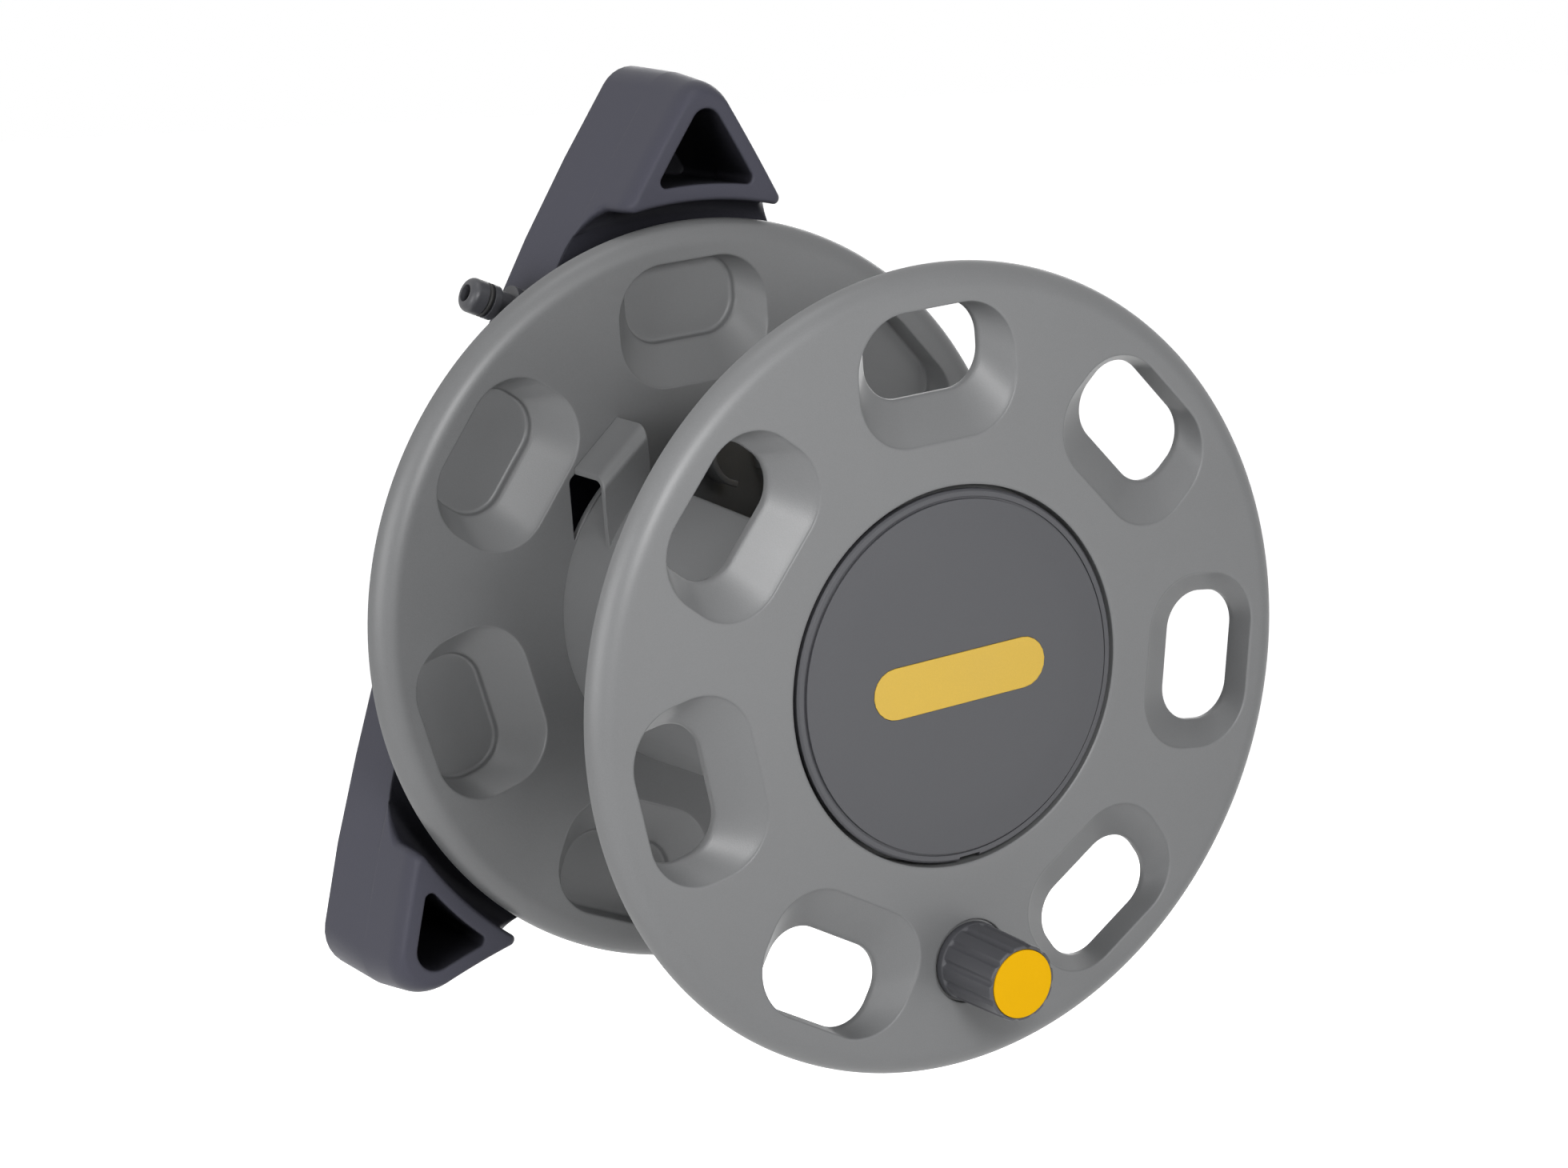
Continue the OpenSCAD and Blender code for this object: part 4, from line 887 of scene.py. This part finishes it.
def knob():
    """The fluted knob, smooth at its base, with the room for its screw and its end cap."""
    shell, n = Shell(), 24 * FLUTES
    low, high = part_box("handle_grip")
    start, end = -mm(high.y), -mm(low.y)
    pin_top = -mm(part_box("crank_pin")[0].y)
    rows = [(0.0, 14.0, 0.0), (0.12, 14.5, 0.0), (0.45, 14.85, 0.0), (0.95, BASE_R, 0.0), (3.3, BASE_R, 0.0),
            (3.7, BASE_R - 0.08, 0.0), (4.0, BASE_R - 0.25, 0.05), (4.3, BASE_R - 0.3, 0.4),
            (4.7, BASE_R - 0.32, 0.8), (5.3, BASE_R - 0.34, 1.0), (12.0, 14.56, 1.0), (20.0, 14.42, 1.0),
            (28.0, 14.28, 1.0), (end - start - 1.0, END_R, 1.0), (end - start - 0.5, END_R - 0.1, 0.95),
            (end - start - 0.15, END_R - 0.36, 0.7), (end - start, END_R - 0.75, 0.3)]
    rings = []
    for z, r, depth in rows:
        outline = []
        for i in range(n):
            x, y = polar(r - depth * flute(FLUTES * i / n), 360 * i / n)
            outline.append((KNOB[0] + x, KNOB[1] + y))
        rings.append(shell.ring(outline, start + z))
    shell.bands(rings)
    first, last = shell.turned([
        (END_CAP_R + 0.35, end), (END_CAP_R + 0.12, end - 0.2), (END_CAP_R + 0.1, end - 1.5), (9.3, end - 1.5),
        (9.3, pin_top - 0.3), (6.06, pin_top - 0.3), (6.06, start + 0.3), (6.4, start),
    ], n, KNOB)
    shell.band(rings[-1], first)
    shell.band(last, rings[0])
    return shell.build("handle_grip_skin")


class HOSEREEL_OT_knob(bpy.types.Operator):
    """Finish the winding knob and its end cap"""

    bl_idname = "hosereel.knob"
    bl_label = "Knob"

    def execute(self, context):
        colours = context.scene.reel_colours
        dark = moulded("knob_plastic", colours.knob, 0.45)
        yellow = moulded("end_cap_plastic", colours.accent, 0.4, 0.03, sheen=0.1)
        settle(knob(), "grip", "handle_grip", dark)
        settle(dressed("handle_cap", "handle_cap_skin"), "grip", "handle_cap", yellow)
        return {"FINISHED"}


class HOSEREEL_OT_inlet(bpy.types.Operator):
    """Finish the water inlet"""

    bl_idname = "hosereel.inlet"
    bl_label = "Inlet"

    def execute(self, context):
        dark = moulded("inlet_plastic", context.scene.reel_colours.knob, 0.4)
        settle(dressed("inlet_nipple", "inlet_nipple_skin"), "bracket", "inlet_nipple", dark)
        return {"FINISHED"}


class HOSEREEL_OT_inner(bpy.types.Operator):
    """Finish the bearings, the water joint and the fasteners"""

    bl_idname = "hosereel.inner"
    bl_label = "Inner pieces"

    def execute(self, context):
        white = moulded("bearing_plastic", (0.66, 0.66, 0.63), 0.45, 0.03)
        black = moulded("pipe_plastic", (0.03, 0.03, 0.032), 0.45)
        rubber = moulded("seal_rubber", (0.02, 0.02, 0.02), 0.6)
        steel = metal("screw_steel", (0.6, 0.6, 0.6))
        brass = metal("tail_brass", (0.7, 0.5, 0.22))
        finishes = {
            white: ("spindle", "thrust_washer", "rear_bush", "front_bush", "swivel_manifold"),
            black: ("inlet_pipe", "inlet_nut"),
            rubber: ("spindle_seals", "inlet_seal"),
            steel: ("spindle_screws", "end_washer", "retaining_clip", "manifold_screws", "barrel_screws",
                    "flange_screws", "crank_pin", "crank_nut", "grip_washer", "grip_screw"),
            brass: ("hose_tail",),
        }
        for material, names in finishes.items():
            for name in names:
                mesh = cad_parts[name].data
                mesh.materials.clear()
                mesh.materials.append(material)
        return {"FINISHED"}


# The studio

# What the camera looks at, the side that it stands on, its distance and the width of its sensor
CAMERA_AIM, CAMERA_SIDE = Vector((-0.06892, -0.223, 0.04074)), Vector((-0.52549, -0.82513, 0.20743))
CAMERA_DISTANCE, SENSOR = 1.2549, 36.0
# Half the floor's length and its height, and the point that the lamps are aimed at
FLOOR_REACH, FLOOR_HEIGHT = 9.0, -0.62
LAMP_AIM = (0.0, -0.12, 0.0)


def area_light(name, place, size, power):
    """A soft square light aimed at the reel."""
    light = bpy.data.lights.new(name, "AREA")
    light.shape = "SQUARE"
    light.size = size
    light.energy = power
    obj = bpy.data.objects.new(name, light)
    obj.location = place
    obj.rotation_euler = (Vector(LAMP_AIM) - Vector(place)).to_track_quat("-Z", "Y").to_euler()
    bpy.context.scene.collection.objects.link(obj)


def seen_directly(nodes, links):
    """1 for rays that show the background: camera, mirror and glass rays."""
    path = nodes.new("ShaderNodeLightPath")
    first = nodes.new("ShaderNodeMath")
    first.operation = "MAXIMUM"
    links.new(path.outputs["Is Camera Ray"], first.inputs[0])
    links.new(path.outputs["Is Glossy Ray"], first.inputs[1])
    second = nodes.new("ShaderNodeMath")
    second.operation = "MAXIMUM"
    links.new(first.outputs[0], second.inputs[0])
    links.new(path.outputs["Is Transmission Ray"], second.inputs[1])
    return second.outputs[0]


class HOSEREEL_OT_studio(bpy.types.Operator):
    """Set up the pale floor, the soft lights and the camera"""

    bl_idname = "hosereel.studio"
    bl_label = "Studio"

    def execute(self, context):
        scene, studio = context.scene, context.scene.reel_studio
        scene.view_settings.view_transform = "Standard"
        world = bpy.data.worlds.new("studio_room")
        scene.world = world
        world.use_nodes = True
        nodes, links = world.node_tree.nodes, world.node_tree.links
        room = nodes["Background"]
        room.inputs["Color"].default_value = (1.0, 1.0, 1.0, 1.0)
        room.inputs["Strength"].default_value = studio.ambient
        bright = nodes.new("ShaderNodeBackground")
        bright.inputs["Color"].default_value = (1.0, 1.0, 1.0, 1.0)
        mix = nodes.new("ShaderNodeMixShader")
        links.new(seen_directly(nodes, links), mix.inputs["Fac"])
        links.new(room.outputs["Background"], mix.inputs[1])
        links.new(bright.outputs["Background"], mix.inputs[2])
        links.new(mix.outputs["Shader"], nodes["World Output"].inputs["Surface"])

        mesh = bpy.data.meshes.new("studio_floor")
        reach = FLOOR_REACH
        corners = ((-reach, -reach), (reach, -reach), (reach, reach), (-reach, reach))
        mesh.from_pydata([(x, y, FLOOR_HEIGHT) for x, y in corners], [], [(0, 1, 2, 3)])
        floor = bpy.data.objects.new("studio_floor", mesh)
        scene.collection.objects.link(floor)
        material = bpy.data.materials.new("studio_floor")
        material.use_nodes = True
        nodes, links = material.node_tree.nodes, material.node_tree.links
        bsdf = nodes["Principled BSDF"]
        bsdf.inputs["Base Color"].default_value = (0.8, 0.8, 0.8, 1.0)
        bsdf.inputs["Roughness"].default_value = 0.8
        bsdf.inputs["Emission Color"].default_value = (1.0, 1.0, 1.0, 1.0)
        links.new(seen_directly(nodes, links), bsdf.inputs["Emission Strength"])
        mesh.materials.append(material)

        area_light("key_light", (-0.15, -1.5, 0.5), 0.6, studio.key)
        area_light("near_light", (-0.32, -0.95, 0.35), 0.22, studio.near)
        area_light("side_light", (-1.3, -0.35, 0.2), 0.8, studio.side)
        area_light("low_light", (0.5, -1.3, -0.15), 0.6, studio.low)
        area_light("top_light", (-0.12, -0.2, 1.3), 0.4, studio.top)
        area_light("back_light", (1.2, 1.4, 0.2), 1.2, studio.back)

        camera = bpy.data.objects.new("camera", bpy.data.cameras.new("camera"))
        scene.collection.objects.link(camera)
        back = CAMERA_SIDE.normalized()
        camera.location = CAMERA_AIM + back * CAMERA_DISTANCE
        camera.rotation_mode = "QUATERNION"
        camera.rotation_quaternion = (-back).to_track_quat("-Z", "Y")
        camera.data.lens = studio.lens
        camera.data.sensor_width = SENSOR
        scene.camera = camera
        return {"FINISHED"}


class HOSEREEL_PT_panel(bpy.types.Panel):
    """The reel's pieces, sizes and colours in the sidebar"""

    bl_idname = "HOSEREEL_PT_panel"
    bl_label = "Hose Reel"
    bl_space_type = "VIEW_3D"
    bl_region_type = "UI"
    bl_category = "Hose Reel"

    def draw(self, context):
        layout = self.layout
        for step in STEPS:
            layout.operator(step.bl_idname)
        for group in (context.scene.reel_sizes, context.scene.reel_colours, context.scene.reel_studio):
            box = layout.box()
            for name in group.__annotations__:
                box.prop(group, name)


STEPS = (
    HOSEREEL_OT_studio,
    HOSEREEL_OT_flanges,
    HOSEREEL_OT_barrel,
    HOSEREEL_OT_bracket,
    HOSEREEL_OT_cap,
    HOSEREEL_OT_knob,
    HOSEREEL_OT_inlet,
    HOSEREEL_OT_inner,
)
CLASSES = (ReelSizes, ReelColours, StudioSettings) + STEPS + (HOSEREEL_PT_panel,)


def register():
    for cls in CLASSES:
        bpy.utils.register_class(cls)
    bpy.types.Scene.reel_sizes = PointerProperty(type=ReelSizes)
    bpy.types.Scene.reel_colours = PointerProperty(type=ReelColours)
    bpy.types.Scene.reel_studio = PointerProperty(type=StudioSettings)


def unregister():
    del bpy.types.Scene.reel_studio
    del bpy.types.Scene.reel_colours
    del bpy.types.Scene.reel_sizes
    for cls in reversed(CLASSES):
        bpy.utils.unregister_class(cls)


def main():
    register()
    bpy.ops.hosereel.studio()
    bpy.ops.hosereel.flanges()
    bpy.ops.hosereel.barrel()
    bpy.ops.hosereel.bracket()
    bpy.ops.hosereel.cap()
    bpy.ops.hosereel.knob()
    bpy.ops.hosereel.inlet()
    bpy.ops.hosereel.inner()


if __name__ == "__main__":
    main()
